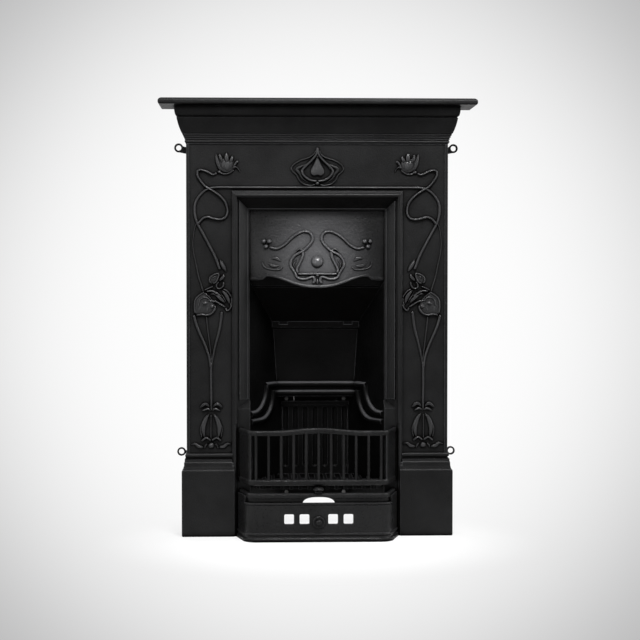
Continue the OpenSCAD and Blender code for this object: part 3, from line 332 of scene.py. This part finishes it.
# A painted highlight: faces that look up near the reeds' height are painted lighter, as where light from
# above falls on the reeds' tops
def reeds_painted_highlight(tree, place, up, reeds_highlight):
    top_lit = ramp(tree, up, REEDS_LIT_STEEP, REEDS_LIT_FLAT)
    height = node(tree, "SeparateXYZ", Vector=place).outputs["Z"]
    away = maths(tree, "ABSOLUTE", maths(tree, "SUBTRACT", height, REEDS_Z))
    near = ramp(tree, away, REEDS_LIT_NONE, REEDS_LIT_FULL)
    return maths(tree, "MULTIPLY", top_lit, maths(tree, "MULTIPLY", near, reeds_highlight))


def unshaded_share(tree, up):
    """1 on open faces, and less in recesses and on undersides: painted shade, which darkens the colour and
    dims the reflection there.
    """
    air = node(tree, "AmbientOcclusion", samples=SAMPLES, Distance=RECESS_REACH)
    clear = ramp(tree, air.outputs["AO"], RECESS_SHADED, RECESS_OPEN)
    under = ramp(tree, up, UNDER_SHADED, UNDER_OPEN, to_low=UNDER_LEAST)
    return maths(tree, "MULTIPLY", clear, under)


def iron(name, dark, light, rough, grain, bump, specular, edge_wear_and_highlight, proud=0.15, canopy_highlight=0.0, reeds_highlight=0.0):
    """Black-leaded cast iron: sand-cast grain, soft blotches of polish, and edges made brighter by wearing
    and by a painted highlight.
    edge_wear_and_highlight is how far edges are painted lighter, proud the same for raised relief, both
    from wearing and as painted highlight. canopy_highlight is a painted highlight on the middle of the
    canopy, and reeds_highlight a painted highlight on the faces that look up at the reeds' height. Recesses
    and undersides get painted shade."""
    mat = bpy.data.materials.new(name)
    tree = new_tree(mat)
    place = node(tree, "TexCoord").outputs["Object"]
    raised = node(tree, "Attribute", attribute_name="raised").outputs["Fac"]
    up = facing_up(tree)
    blotch, fine, pits = sand_cast(tree, place, grain)

    # lighter colour on edges and raised relief: wearing and painted highlight
    wear_and_highlight = maths(tree, "MAXIMUM", rubbed_and_lit_edges(tree, edge_wear_and_highlight), maths(tree, "MULTIPLY", raised, proud))
    # painted highlight on the middle of the canopy
    if canopy_highlight:
        wear_and_highlight = maths(tree, "MAXIMUM", wear_and_highlight, canopy_painted_highlight(tree, place, canopy_highlight))
    # painted highlight on the upward faces at the reeds' height
    if reeds_highlight:
        wear_and_highlight = maths(tree, "MAXIMUM", wear_and_highlight, reeds_painted_highlight(tree, place, up, reeds_highlight))
    # painted shade in recesses and on undersides
    unshaded = unshaded_share(tree, up)
    worn_and_lit = mix_colours(tree, wear_and_highlight, casting_colour(tree, blotch, fine, dark, light), WEAR_AND_HIGHLIGHT)

    grainy = ramp(tree, fine, SMOOTH_AT, ROUGH_AT, rough - SMOOTHER, rough + ROUGHER, "LINEAR")
    smoother = maths(tree, "MULTIPLY", raised, RUBBED_SMOOTHER)
    shine = maths(tree, "ADD", maths(tree, "MULTIPLY", raised, RUBBED_SHINE * specular), specular)
    height = maths(tree, "ADD", fine, maths(tree, "MULTIPLY", pits, PIT_DEPTH))
    relief = node(tree, "Bump", Strength=bump, Distance=BUMP_DEPTH, Height=height)

    shader = node(tree, "BsdfPrincipled", Normal=relief.outputs[0])
    feed(tree, shader.inputs["Base Color"], mix_colours(tree, unshaded, PAINTED_SHADE, worn_and_lit))
    feed(tree, shader.inputs["Roughness"], maths(tree, "SUBTRACT", grainy, smoother))
    feed(tree, shader.inputs["Specular IOR Level"], maths(tree, "MULTIPLY", unshaded, shine))
    feed(tree, node(tree, "OutputMaterial").inputs[0], shader.outputs[0])
    return mat


def front_iron():
    return iron("front_iron", dark=(0.004, 0.004, 0.0041), light=(0.009, 0.0091, 0.0093),
                rough=0.39, grain=420, bump=0.6, specular=0.14, edge_wear_and_highlight=0.45)


def fret_iron():
    return iron("fret_iron", dark=(0.004, 0.004, 0.0041), light=(0.010, 0.010, 0.0102),
                rough=0.31, grain=240, bump=1.0, specular=0.16, edge_wear_and_highlight=0.5, proud=0.45, canopy_highlight=0.5)


def fire_iron():
    return iron("fire_iron", dark=(0.001, 0.001, 0.001), light=(0.003, 0.003, 0.003),
                rough=0.42, grain=300, bump=0.8, specular=0.06, edge_wear_and_highlight=0.55, reeds_highlight=0.6)


def fastener_steel():
    return iron("fastener_steel", dark=(0.06, 0.058, 0.056), light=(0.12, 0.118, 0.116),
                rough=0.4, grain=600, bump=0.3, specular=0.5, edge_wear_and_highlight=0.6)


by_slot = {"front_iron": front_iron(), "fret_iron": fret_iron(), "fire_iron": fire_iron(),
           "fastener_steel": fastener_steel()}
slot_of = {s["node"]: s["material_slot"] for s in record["subparts"]}
for cad_name, cad_node in nodes.items():
    finish = by_slot[slot_of[cad_name]]
    if not cad_node.data.materials:
        cad_node.data.materials.append(finish)
    for i in range(len(cad_node.data.materials)):
        cad_node.data.materials[i] = finish

# ------------------------------------------------------------------ ornament
# Low relief cast on the panels: lines and leaves drawn in the front view in millimetres,
# [x, z] on the left half, with the right half as its mirror image
PANEL_DEPTH = 2.5                  # the panels are sunk this far under the plate's face
PANEL_Y = PANEL_DEPTH - MID_Y
RISE = 1.5                         # height of the casting, for 1 of the drawn height
FULL_RISE = 4.0                    # relief drawn this high is painted lighter fully, from wearing and as painted highlight
LINE_STEP = 2.0                    # millimetres between the points along a strand,
PAD_STEP = 2.5                     # and round a pad
STRAND_SPAN = 9                    # points across a strand
STRAND_FOOT = -0.15                # its edges lie this far under the ground, for 1 of its height
STRAND_END = 0.12                  # least width at the round end of a stem, for 1 of its width
VEIN_WIDTH = 0.22                  # width of the groove along a leaf, for 1 of half its width
SUNK = -0.5                        # the foot of a dome or pad lies this far under the ground
DOME_SIDES = 22
DOME_RINGS = (1.0, 1.0, 0.94, 0.82, 0.64, 0.42, 0.18)
DOME_LIFT = 0.05                   # a dome stands this much higher than drawn
PAD_TURNS = (0, 30, 60, 90)        # degrees round the edge of a pad
MITRE_GAP = 2.0                    # from the ring at a mitre to the rings beside it
STALK_X = -257.3                   # middle of the stalk on the left jamb

# A strand's width along its length t, and its least width, both for 1 of its full width
SHAPES = {
    "leaf": (lambda t: np.sin(np.pi * t) ** 0.7, 0.08),
    "bud": (lambda t: np.sin(np.pi * t ** 0.75) ** 0.8, 0.08),
    "taper": (lambda t: (1 - t) ** 0.6, 0.1),
}


def smooth(points, step=LINE_STEP):
    """A curve through the points, sampled about every step."""
    p = np.array(points, float)
    p = np.vstack([2 * p[0] - p[1], p, 2 * p[-1] - p[-2]])
    out = []
    for a, b, c, d in zip(p, p[1:], p[2:], p[3:]):
        linear = c - a
        square = 2 * a - 5 * b + 4 * c - d
        cube = 3 * b - a - 3 * c + d
        count = max(3, int(np.linalg.norm(c - b) / step))
        for t in np.linspace(0, 1, count, endpoint=False):
            out.append(0.5 * (2 * b + linear * t + square * t * t + cube * t ** 3))
    out.append(p[-2])
    return np.array(out)


class Relief:
    """Collects the strands, domes, pads and mouldings of one ornament on a ground surface.
    rub_and_highlight is how far its raised parts are painted lighter, from wearing and as painted
    highlight, for 1 of the usual."""

    def __init__(self, ground, rub_and_highlight=1.0):
        self.ground = ground
        self.rub_and_highlight = rub_and_highlight
        self.points = []
        self.faces = []
        self.raised = []

    def _ring(self, flat, rise):
        """A row of points over the ground at the given heights. Returns their numbers."""
        first = len(self.points)
        for (x, z), h in zip(flat, rise):
            self.points.append((x, self.ground(x, z) - RISE * h, z))
            self.raised.append(self.rub_and_highlight * min(1.0, max(0.0, h / FULL_RISE)) ** 1.5)
        return list(range(first, len(self.points)))

    def _skin(self, rings):
        """Faces between each ring and the next one."""
        for a, b in zip(rings, rings[1:]):
            n = len(a)
            for i in range(n):
                j = (i + 1) % n
                self.faces.append((a[i], b[i], b[j], a[j]))

    def _tube(self, rings):
        """A skin that is closed at both ends."""
        self._skin(rings)
        self.faces += [tuple(reversed(rings[0])), tuple(rings[-1])]

    def _widths(self, run, start, end, shape, cut):
        """Width at each point of a strand, from how far along it the point lies."""
        t = run / run[-1]
        w = start + (end - start) * t
        if shape in SHAPES:
            profile, least = SHAPES[shape]
            return w * np.clip(profile(t), least, 1)
        ends = [run[-1] - run] if cut else [run, run[-1] - run]
        for along in ends:
            near = np.clip(along / (0.5 * start), 0, 1)
            w = w * np.clip(np.sqrt(1 - (1 - near) ** 2), STRAND_END, 1)
        return w

    def strand(self, points, width, height, shape="stem", vein=0.0, cut=False):
        """A raised line through the points: a stem, leaf, bud or taper. width may be a pair,
        for its start and end. vein is how deep a leaf's groove is, for 1 of its height.
        cut leaves out the round end at the start, where the stem meets its mirror image."""
        line = smooth(points)
        run = np.concatenate([[0], np.cumsum(np.linalg.norm(np.diff(line, axis=0), axis=1))])
        start, end = width if isinstance(width, tuple) else (width, width)
        widths = self._widths(run, start, end, shape, cut)
        side = np.gradient(line, axis=0)
        side = side[:, ::-1] * (1, -1) / np.linalg.norm(side, axis=1)[:, None]
        span = np.linspace(-1, 1, STRAND_SPAN)
        groove = 1 - vein * np.exp(-(span / VEIN_WIDTH) ** 2)
        arch = np.sqrt(np.clip(1 - span ** 2, 0, 1)) * groove
        arch[0] = arch[-1] = STRAND_FOOT
        widest = max(start, end)
        rings = []
        for p, q, w in zip(line, side, widths):
            flat = [p + q * (k * w / 2) for k in span]
            rings.append(self._ring(flat, height * (w / widest) ** 0.5 * arch))
        self._tube(rings)

    def dome(self, x, z, rx, rz, height, turn=0.0):
        """A round or oval boss about x, z, turned by some degrees."""
        c, d = math.cos(math.radians(turn)), math.sin(math.radians(turn))
        rings = []
        for k in DOME_RINGS:
            flat = []
            for i in range(DOME_SIDES):
                a = 2 * math.pi * i / DOME_SIDES
                u, v = rx * k * math.cos(a), rz * k * math.sin(a)
                flat.append((x + c * u - d * v, z + d * u + c * v))
            rise = height * math.sqrt(max(0.0, 1 - k * k)) + DOME_LIFT if rings else SUNK
            rings.append(self._ring(flat, [rise] * DOME_SIDES))
        self._tube(rings)

    def pad(self, outline, height, edge=2.0):
        """A flat raised field inside a smooth outline, with a rounded edge."""
        line = smooth(list(outline) + [outline[0]], PAD_STEP)[:-1]
        n = len(line)
        after, before = np.roll(line, -1, axis=0), np.roll(line, 1, axis=0)
        area = 0.5 * np.sum(line[:, 0] * after[:, 1] - after[:, 0] * line[:, 1])
        side = after - before
        side = side[:, ::-1] * (-1, 1) / np.linalg.norm(side, axis=1)[:, None]
        side = side * (1 if area > 0 else -1)
        rings = [self._ring(line, [SUNK] * n)]
        for degrees in PAD_TURNS:
            r = math.radians(degrees)
            inner = line + side * edge * (1 - math.cos(r))
            rings.append(self._ring(inner, [height * math.sin(r)] * n))
        self._skin(rings)
        flat = [[Vector((*self.points[i][::2], 0)) for i in rings[-1]]]
        self.faces += [tuple(rings[-1][i] for i in tri) for tri in tessellate_polygon(flat)]
        self.faces.append(tuple(reversed(rings[0])))

    def moulding(self, half, top, foot, share, section, head=True):
        """A mitred moulding up the sides and, with head, over the top of the opening, from
        [outward, rise] pairs. share is its width over the top for 1 at the sides."""
        leg = ["foot", "leg", "mitre"]
        runs = [[(hand, part) for part in leg] for hand in (-1, 1)]
        if head:
            runs = [runs[0] + [(-1, "head"), (1, "head")] + runs[1][::-1]]
        for run in runs:
            rings = []
            for hand, part in run:
                flat = []
                for out, _ in section:
                    x = half + out - (MITRE_GAP if part == "head" else 0)
                    z = top + share * out - (MITRE_GAP if part == "leg" else 0)
                    flat.append((hand * x, foot if part == "foot" else z))
                rings.append(self._ring(flat, [rise for _, rise in section]))
            self._tube(rings)

    def build(self, name, slot, flip=False, crease=None):
        """Makes the piece. flip mirrors it, and crease is the angle in degrees from which its
        edges stay sharp."""
        turn = -1 if flip else 1
        mesh = bpy.data.meshes.new(name)
        mesh.from_pydata([(turn * x * MM, y * MM, z * MM) for x, y, z in self.points], [], self.faces)
        work = bmesh.new()
        work.from_mesh(mesh)
        bmesh.ops.recalc_face_normals(work, faces=work.faces)
        work.to_mesh(mesh)
        work.free()
        mesh.polygons.foreach_set("use_smooth", [True] * len(mesh.polygons))
        if crease:
            mesh.set_sharp_from_angle(angle=math.radians(crease))
        raised = mesh.attributes.new("raised", "FLOAT", "POINT")
        raised.data.foreach_set("value", self.raised)
        mesh.materials.append(by_slot[slot])
        obj = bpy.data.objects.new(name, mesh)
        bpy.context.scene.collection.objects.link(obj)
        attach(obj, "surround")


def mirror(points, hand, middle=0.0):
    """The points on one hand of a middle line: 1 for their own side, -1 for the other."""
    return [(middle + hand * x, z) for x, z in points]


def tendrils(r):
    """Whiplash stems that cross over the jamb and run into the frieze."""
    r.strand([(2, 846), (-87.5, 846.0), (-180.6, 845.9), (-227.1, 846.2), (-250.4, 845.5), (-264.4, 842.5),
              (-273.7, 836.8), (-284.2, 826.4), (-292.5, 813.6), (-296.3, 799.7), (-296.4, 784.6),
              (-293.9, 770.6), (-287.7, 754.3), (-276.7, 734.4), (-262.9, 708.7), (-249.1, 681.9),
              (-240.0, 658.6), (-235.8, 646.9)], (6, 8), 3.8, cut=True)
    r.strand([(-242.0, 881.9), (-247.8, 877.8), (-254.8, 877.8), (-262.9, 882.1), (-273.4, 886.6),
              (-282.7, 888.2), (-289.2, 885.0), (-289.3, 874.1), (-281.7, 861.3), (-270.1, 847.9),
              (-252.8, 837.8), (-236.5, 826.1), (-223.8, 812.0), (-218.1, 798.0), (-217.5, 784.1),
              (-222.9, 773.6), (-234.6, 768.8), (-250.9, 770.8), (-264.8, 774.6), (-276.4, 771.0),
              (-285.8, 761.7), (-288.6, 756.6)], (6, 7), 4.8)
    r.strand([(-290.5, 764.0), (-296.5, 748.0), (-300.0, 728.0), (-301.0, 705.0), (-298.5, 682.9),
              (-293.0, 657.6), (-288.0, 632.3), (-281.2, 610.4), (-275.6, 592.5)], (2.5, 5.5), 2.4)
    r.strand([(-236.4, 671.8), (-229.2, 657.3), (-219.3, 641.3)], 12, 4.2, "leaf")


def tulip(r):
    """Flower head at the top of the jamb."""
    r.pad([(-240.1, 918.8), (-239.4, 903.6), (-237.9, 892.8), (-232.4, 885.2), (-219.3, 880.8),
           (-206.2, 885.2), (-199.6, 894.9), (-202.2, 906.9), (-205.5, 916.6), (-212.3, 913.4),
           (-219.3, 922.0), (-225.9, 915.5), (-234.6, 921.0)], 2.2, 3)
    r.strand([(-233.8, 884.5), (-239.9, 903.2), (-245.1, 927.9)], 10, 4.6, "leaf", 0.2)
    r.strand([(-228.1, 902.5), (-232.9, 915.5), (-236.8, 927.5)], 8.5, 5.0, "leaf", 0.2)
    r.strand([(-218.4, 903.6), (-219.3, 916.6), (-219.3, 930.1)], 13, 5.0, "leaf", 0.15)
    r.strand([(-211.0, 903.2), (-207.5, 913.4), (-204.9, 922.7)], 9.5, 5.0, "leaf", 0.2)
    r.dome(-225.5, 900.1, 9.5, 14.0, 3.4, 8)
    r.dome(-210.5, 901.0, 9.5, 13.5, 3.4, -10)
    r.dome(-218.0, 898.4, 9.0, 15.0, 4.0)
    r.strand([(-204.0, 893.8), (-198.1, 903.2), (-193.7, 911.8)], 7, 4.4, "leaf")
    r.dome(-193.7, 907.9, 3.8, 3.8, 4.2)
    r.strand([(-204.0, 892.3), (-199.6, 895.8), (-192.6, 892.3), (-186.9, 882.3)], 5.5, 3.8, "taper")
    r.strand([(-237.9, 885.2), (-228.1, 878.9), (-214.9, 879.7), (-201.4, 888.4)], 5, 3.4)
    r.dome(-236.8, 883.0, 4.6, 4.6, 4.2)
    r.dome(-200.7, 894.9, 4.2, 4.2, 4.4)


def blossom(r):
    """The large open flower in the middle of the jamb, with the two-lobed bud above it."""
    r.pad([(-260.0, 619.6), (-257.4, 630.6), (-246.4, 636.5), (-239.1, 637.4), (-240.1, 630.3),
           (-245.2, 618.0), (-253.7, 614.1)], 2.6, 2)
    r.strand([(-254.9, 614.1), (-260.5, 619.1), (-258.3, 629.8), (-247.3, 636.5), (-239.5, 637.7),
              (-239.5, 630.3), (-245.2, 618.0), (-254.0, 613.7)], 5.5, 4.4)
    r.strand([(-254.9, 623.9), (-249.8, 629.8), (-243.9, 633.6)], 7, 4.0, "leaf")
    r.strand([(-227.2, 637.7), (-227.8, 630.3), (-235.0, 622.8), (-239.1, 619.1)], 9, 5.0, "leaf", 0.2)
    r.strand([(-238.8, 619.1), (-244.2, 610.4), (-242.8, 603.9), (-237.1, 601.6), (-230.8, 604.6),
              (-226.9, 611.4), (-227.8, 618.8)], 5, 4.2)
    r.pad([(-274.1, 592.3), (-288.0, 583.4), (-295.1, 573.2), (-297.3, 558.1), (-295.6, 540.3),
           (-281.2, 539.5), (-267.6, 537.5), (-257.4, 541.2), (-249.3, 549.6), (-246.9, 559.7),
           (-250.6, 566.5), (-257.4, 574.9), (-265.6, 584.7)], 2.6, 3)
    r.strand([(-273.0, 593.2), (-288.0, 583.4), (-295.3, 573.2), (-297.5, 558.1), (-295.8, 541.2)], 5.5,
             4.0)
    r.strand([(-293.4, 537.1), (-281.2, 539.2), (-267.6, 537.5), (-257.4, 540.9), (-249.3, 549.6),
              (-246.6, 561.1)], 6.5, 4.8)
    r.dome(-271.8, 566.5, 7.8, 6.2, 5.4, 15)
    r.dome(-254.9, 558.4, 5.8, 7.0, 5.0)
    r.strand([(-288.0, 558.1), (-284.2, 574.1), (-273.5, 580.3), (-262.5, 576.3), (-258.3, 568.2)], 5, 4.2)
    r.strand([(-284.2, 544.6), (-285.4, 554.7), (-281.5, 562.3)], 5.5, 3.4, "leaf")
    r.strand([(-266.8, 542.9), (-265.6, 551.3), (-262.5, 559.7)], 6, 3.4, "leaf")
    r.strand([(-274.4, 591.8), (-264.2, 583.7), (-256.6, 574.9), (-250.3, 566.5)], 4.5, 3.8)
    r.strand([(-273.4, 597.5), (-262.5, 602.9), (-252.0, 607.3)], 5, 4.0)
    r.strand([(-269.0, 594.5), (-256.6, 595.9), (-244.7, 591.0), (-232.3, 581.7)], 6.5, 4.6)
    r.strand([(-260.8, 588.4), (-250.6, 588.1), (-242.2, 583.4)], 6, 3.0, "leaf")
    r.strand([(-228.9, 600.9), (-218.4, 595.2), (-211.3, 586.7), (-206.2, 578.3)], 5, 4.2)
    r.strand([(-232.0, 597.7), (-223.9, 589.8), (-216.4, 577.5), (-212.0, 562.8)], 11, 5.2, "leaf", 0.2)
    r.strand([(-247.6, 586.4), (-237.1, 579.7), (-223.2, 566.5)], 10, 5.4, "leaf", 0.2)
    r.strand([(-265.1, 574.1), (-254.9, 571.6), (-245.6, 570.2), (-233.7, 563.5), (-221.8, 556.0)], 5.5,
             4.2)
    r.strand([(-233.7, 588.4), (-226.9, 580.0), (-219.8, 566.5)], 6, 3.4, "leaf")
    r.strand([(-222.5, 556.7), (-219.8, 549.3), (-214.7, 549.6), (-209.6, 556.0), (-207.6, 564.0)], 5.5,
             4.0)
    r.strand([(-207.9, 580.0), (-207.9, 569.9), (-211.0, 558.9)], 5, 3.6)


def foot(r):
    """Stems that join, the bound bulb and the scrolls at its foot."""
    r.strand([(-298.9, 538.2), (-294.3, 518.0), (-286.7, 497.8), (-272.9, 466.6), (-262.3, 435.5),
              (-258.4, 407.6)], (8, 7), 3.6)
    r.strand([(-268.8, 534.9), (-266.4, 510.1), (-263.5, 485.2), (-260.0, 457.2), (-256.7, 426.2)],
             (5, 4.5), 2.4)
    r.strand([(-231.4, 547.1), (-233.8, 522.3), (-238.0, 497.5), (-246.5, 466.5), (-253.9, 432.4),
              (-257.2, 412)], (9, 6), 3.0)
    r.strand([(-257.6, 422.9), (-257.7, 373.4), (-257.3, 336.1), (-257.2, 304.6)], (8, 7.5), 3.0)
    r.strand([(-257.6, 412.9), (-257.7, 373.4), (-257.3, 336.1), (-257.2, 304.6)], 2.4, 4.4)
    for hand in (-1, 1):
        r.strand(mirror([(4, 312), (8, 319), (16, 322), (28, 312)], hand, STALK_X), 9, 4.6, "leaf", 0.3)
        r.strand(mirror([(0, 304.5), (9, 310), (23, 304.5)], hand, STALK_X), 8, 4.6, "leaf")
        r.strand(mirror([(5, 299), (14.5, 283), (19.8, 262), (16, 237)], hand, STALK_X), (15, 13), 4.4,
                 "leaf", 0.2)
        r.strand(mirror([(6, 294), (18, 281), (26, 262), (23, 240)], hand, STALK_X), 3.5, 3.6)
        r.strand(mirror([(0.5, 232.5), (6, 236.5), (12.5, 239.8), (19, 236), (24.5, 230.5)], hand, STALK_X),
                 6, 4.6)
        r.strand(mirror([(18, 217), (30, 218.5), (39, 225), (51, 223)], hand, STALK_X), (11, 8), 4.6, "bud",
                 0.2)
        r.strand(mirror([(9, 226), (14, 221), (17, 213)], hand, STALK_X), 4.5, 3.2)
    r.strand([(-257.9, 296.1), (-258.3, 235.3)], 3.6, 3.4)
    r.dome(-257.4, 220.6, 7.7, 7.7, 4.8)


def emblem(r):
    """The spade-shaped crest in the middle of the frieze."""
    wing = [(-4.4, 936.3), (-7.9, 926.8), (-21.8, 917.6), (-40.5, 911.9), (-56.9, 901.6), (-62.8, 892.4),
            (-59.4, 884.1), (-50.0, 876.0), (-44.2, 864.3), (-33.8, 855.0), (-17.6, 851.2), (-4.9, 853.6)]
    ogee = [(0.0, 943.5), (-2.5, 926.6), (-15.0, 910.5), (-31.4, 894.4), (-37.3, 885.2), (-31.5, 873.5),
            (-17.5, 863.9), (0.0, 861.1)]
    heart = [(0.0, 925.3), (-7.0, 907.9), (-15.4, 890.5), (-16.0, 879.3), (-9.0, 873.3), (0.0, 875.3)]
    for hand in (1, -1):
        r.strand(mirror(wing, hand), 4.5, 2.6)
        r.strand(mirror(ogee, hand), 7, 4.6)
        r.strand(mirror([(-16, 905.5), (-36, 898), (-50, 890), (-42, 879), (-36, 868), (-22, 858)], hand),
                 9, 2.0, "leaf")
    r.pad(heart + mirror(heart[-2:0:-1], -1), 4.2, 3.2)
    r.dome(0, 856.0, 5.2, 5.2, 4.4)


def whiplash(r):
    """Crossing whiplash curves, berries and boss on the canopy."""
    for hand in (1, -1):
        r.strand(mirror([(-116.6, 702.5), (-101.0, 698.4), (-89.8, 701.7), (-76.3, 710.6), (-62.6, 724.2),
                         (-46.8, 735.2), (-31.2, 740.7), (-17.6, 737.2), (-10.9, 726.0), (-13.4, 714.8),
                         (-22.4, 703.5), (-33.7, 693.6), (-43.9, 688.2), (-56.1, 680.3), (-64.2, 667.8),
                         (-64.3, 656.6), (-58.8, 647.6), (-53.2, 638.5), (-49.9, 630.5), (-40.9, 625.4),
                         (-27.3, 625.3), (-16.1, 629.3), (-9.3, 629.2), (-6.4, 621.2), (-11.6, 613.5)],
                        hand), (7, 8), 3.4)
        r.strand(mirror([(-33.9, 692.6), (-36.0, 678.6), (-42.9, 663.3), (-49.8, 648.7), (-47.4, 638.5)],
                        hand), 7.5, 3.8)
        r.strand(mirror([(-48.8, 637.5), (-24, 636.8), (-2.4, 637.2), (1.5, 630)], hand), 6.5, 3.4)
        r.strand(mirror([(-50, 672), (-57, 660), (-53, 647)], hand), 4, 2.0, "leaf")
        r.strand(mirror([(-34, 693), (-41, 697.5), (-49, 694), (-55, 684)], hand), 5, 3.0, "taper")
        for x, z in ((-130.0, 716.2), (-116.7, 716.0), (-124.6, 703.6)):
            r.dome(hand * x, z, 5.8, 5.8, 5.2)
        r.strand(mirror([(-134.0, 668.2), (-129.5, 654.6), (-114.9, 648.9), (-92.3, 647.6), (-84.0, 655.0)],
                        hand), 5, 1.8)
        r.strand(mirror([(-121.0, 664.0), (-108.0, 657.0), (-92.0, 657.0)], hand), 9, 2.0, "leaf", 0.2)
        r.strand(mirror([(-113.0, 674.5), (-101.0, 675.5), (-88.0, 668.0)], hand), 9, 2.2, "leaf", 0.2)
    r.strand([(0, 626.0), (0, 619.0), (0, 611.5)], 7, 3.6, "leaf")
    r.dome(0, 667.4, 14.6, 14.6, 7.0)


# The opening frame, in the front view and in depth
OPEN_HALF = 192.7                  # half the opening at the foot of the architrave's slope
OPEN_TOP = 819.5
SLOPE_W = 5.3                      # the architrave's inner slope, across
SLOPE_D = 6.0                      # and in depth
TOP_SHARE = 1.3                    # the architrave is this much wider over the top
SPLAY_W = 28.0                     # the splay, across
SPLAY_D = 30.0                     # and in depth
BEAD_FOOT = 276.0                  # just over the basket's rail
BEAD_AT = 5.8                      # middle of the bead, outward from the slope's foot
BEAD_HALF = 3.7                    # half its width
BEAD_RISE = 3.2
BEAD_STEPS = 12
RIM_FOOT = 332.0                   # just over the blocks under the splay
TRIM_FOOT = -0.4                   # the bead's edges lie this far under the ground
TRIM_RUB_AND_HIGHLIGHT = 0.05                    # the trim is painted lighter this far, from wearing and as painted highlight, for 1 of the ornament
TRIM_CREASE = 38                   # degrees from which its edges stay sharp

# Sections of the fillet down the splay's sides and of the rim, as [outward, rise] pairs
FILLET = [(-4.0, -0.4), (-4.0, 2.6), (-4.4, 2.8), (-26.0, -0.05)]
RIM = [(0.2, -0.4), (0.2, 1.3), (0.7, 1.5), (1.6, 1.3), (3.6, 0.5), (5.4, -0.1)]


def flat_ground(x, z):
    return PANEL_Y


def canopy_ground():
    """The canopy's front face, found by looking at it from in front."""
    eye_y = -0.5                   # metres, well in front of the canopy
    past_y = -5.3                  # for points beside the canopy, in millimetres
    obj = nodes["canopy"]
    tree = BVHTree.FromPolygons([obj.matrix_world @ v.co for v in obj.data.vertices],
                                [tuple(p.vertices) for p in obj.data.polygons])

    def ground(x, z):
        hit = tree.ray_cast(Vector((x * MM, eye_y, z * MM)), Vector((0, 1, 0)))[0]
        return hit.y / MM if hit else past_y
    return ground


def frame_ground(x, z):
    """Face of the opening frame: flat architrave, its inner slope, then the splay."""
    out = max(abs(x) - OPEN_HALF, (z - OPEN_TOP) / TOP_SHARE)
    if out >= 0:
        return -SLOPE_D * min(1.0, out / SLOPE_W) - MID_Y
    return -SPLAY_D * max(abs(x) - OPEN_HALF, z - OPEN_TOP) / SPLAY_W - MID_Y


def frame_trim(r):
    """Round bead on the architrave, the fillets down the splay's sides and the rim inside it."""
    bead = []
    for i in range(BEAD_STEPS + 1):
        turn = math.pi * i / BEAD_STEPS
        out = BEAD_AT + BEAD_HALF * math.cos(turn)
        face = -SLOPE_D * min(1.0, out / SLOPE_W)
        bead.append((out, (face + SLOPE_D + BEAD_RISE * math.sin(turn)) / RISE))
    bead = [(bead[0][0], TRIM_FOOT)] + bead + [(bead[-1][0], TRIM_FOOT)]
    r.moulding(OPEN_HALF, OPEN_TOP, BEAD_FOOT, TOP_SHARE, bead)
    r.moulding(OPEN_HALF, OPEN_TOP, RIM_FOOT, 1.0, FILLET, head=False)
    r.moulding(OPEN_HALF - SPLAY_W, OPEN_TOP - SPLAY_W, RIM_FOOT, 1.0, RIM)


def add_trim():
    trim = Relief(frame_ground, rub_and_highlight=TRIM_RUB_AND_HIGHLIGHT)
    frame_trim(trim)
    trim.build("frame_trim", "front_iron", crease=TRIM_CREASE)


def add_jamb(hand, flip):
    """Stems, flowers and stalk of one jamb, with the stems' ends on that half of the frieze."""
    stems = Relief(flat_ground)
    tendrils(stems)
    stems.build(hand + "_tendrils", "front_iron", flip)
    flowers = Relief(flat_ground)
    tulip(flowers)
    blossom(flowers)
    flowers.build(hand + "_flowers", "front_iron", flip)
    stalk = Relief(flat_ground)
    foot(stalk)
    stalk.build(hand + "_stalk", "front_iron", flip)


def add_crest():
    crest = Relief(flat_ground)
    emblem(crest)
    crest.build("crest", "front_iron")


def add_canopy_relief():
    fret = Relief(canopy_ground())
    whiplash(fret)
    fret.build("canopy_relief", slot_of["canopy"])


add_trim()
add_jamb("left", False)
add_jamb("right", True)
add_crest()
add_canopy_relief()
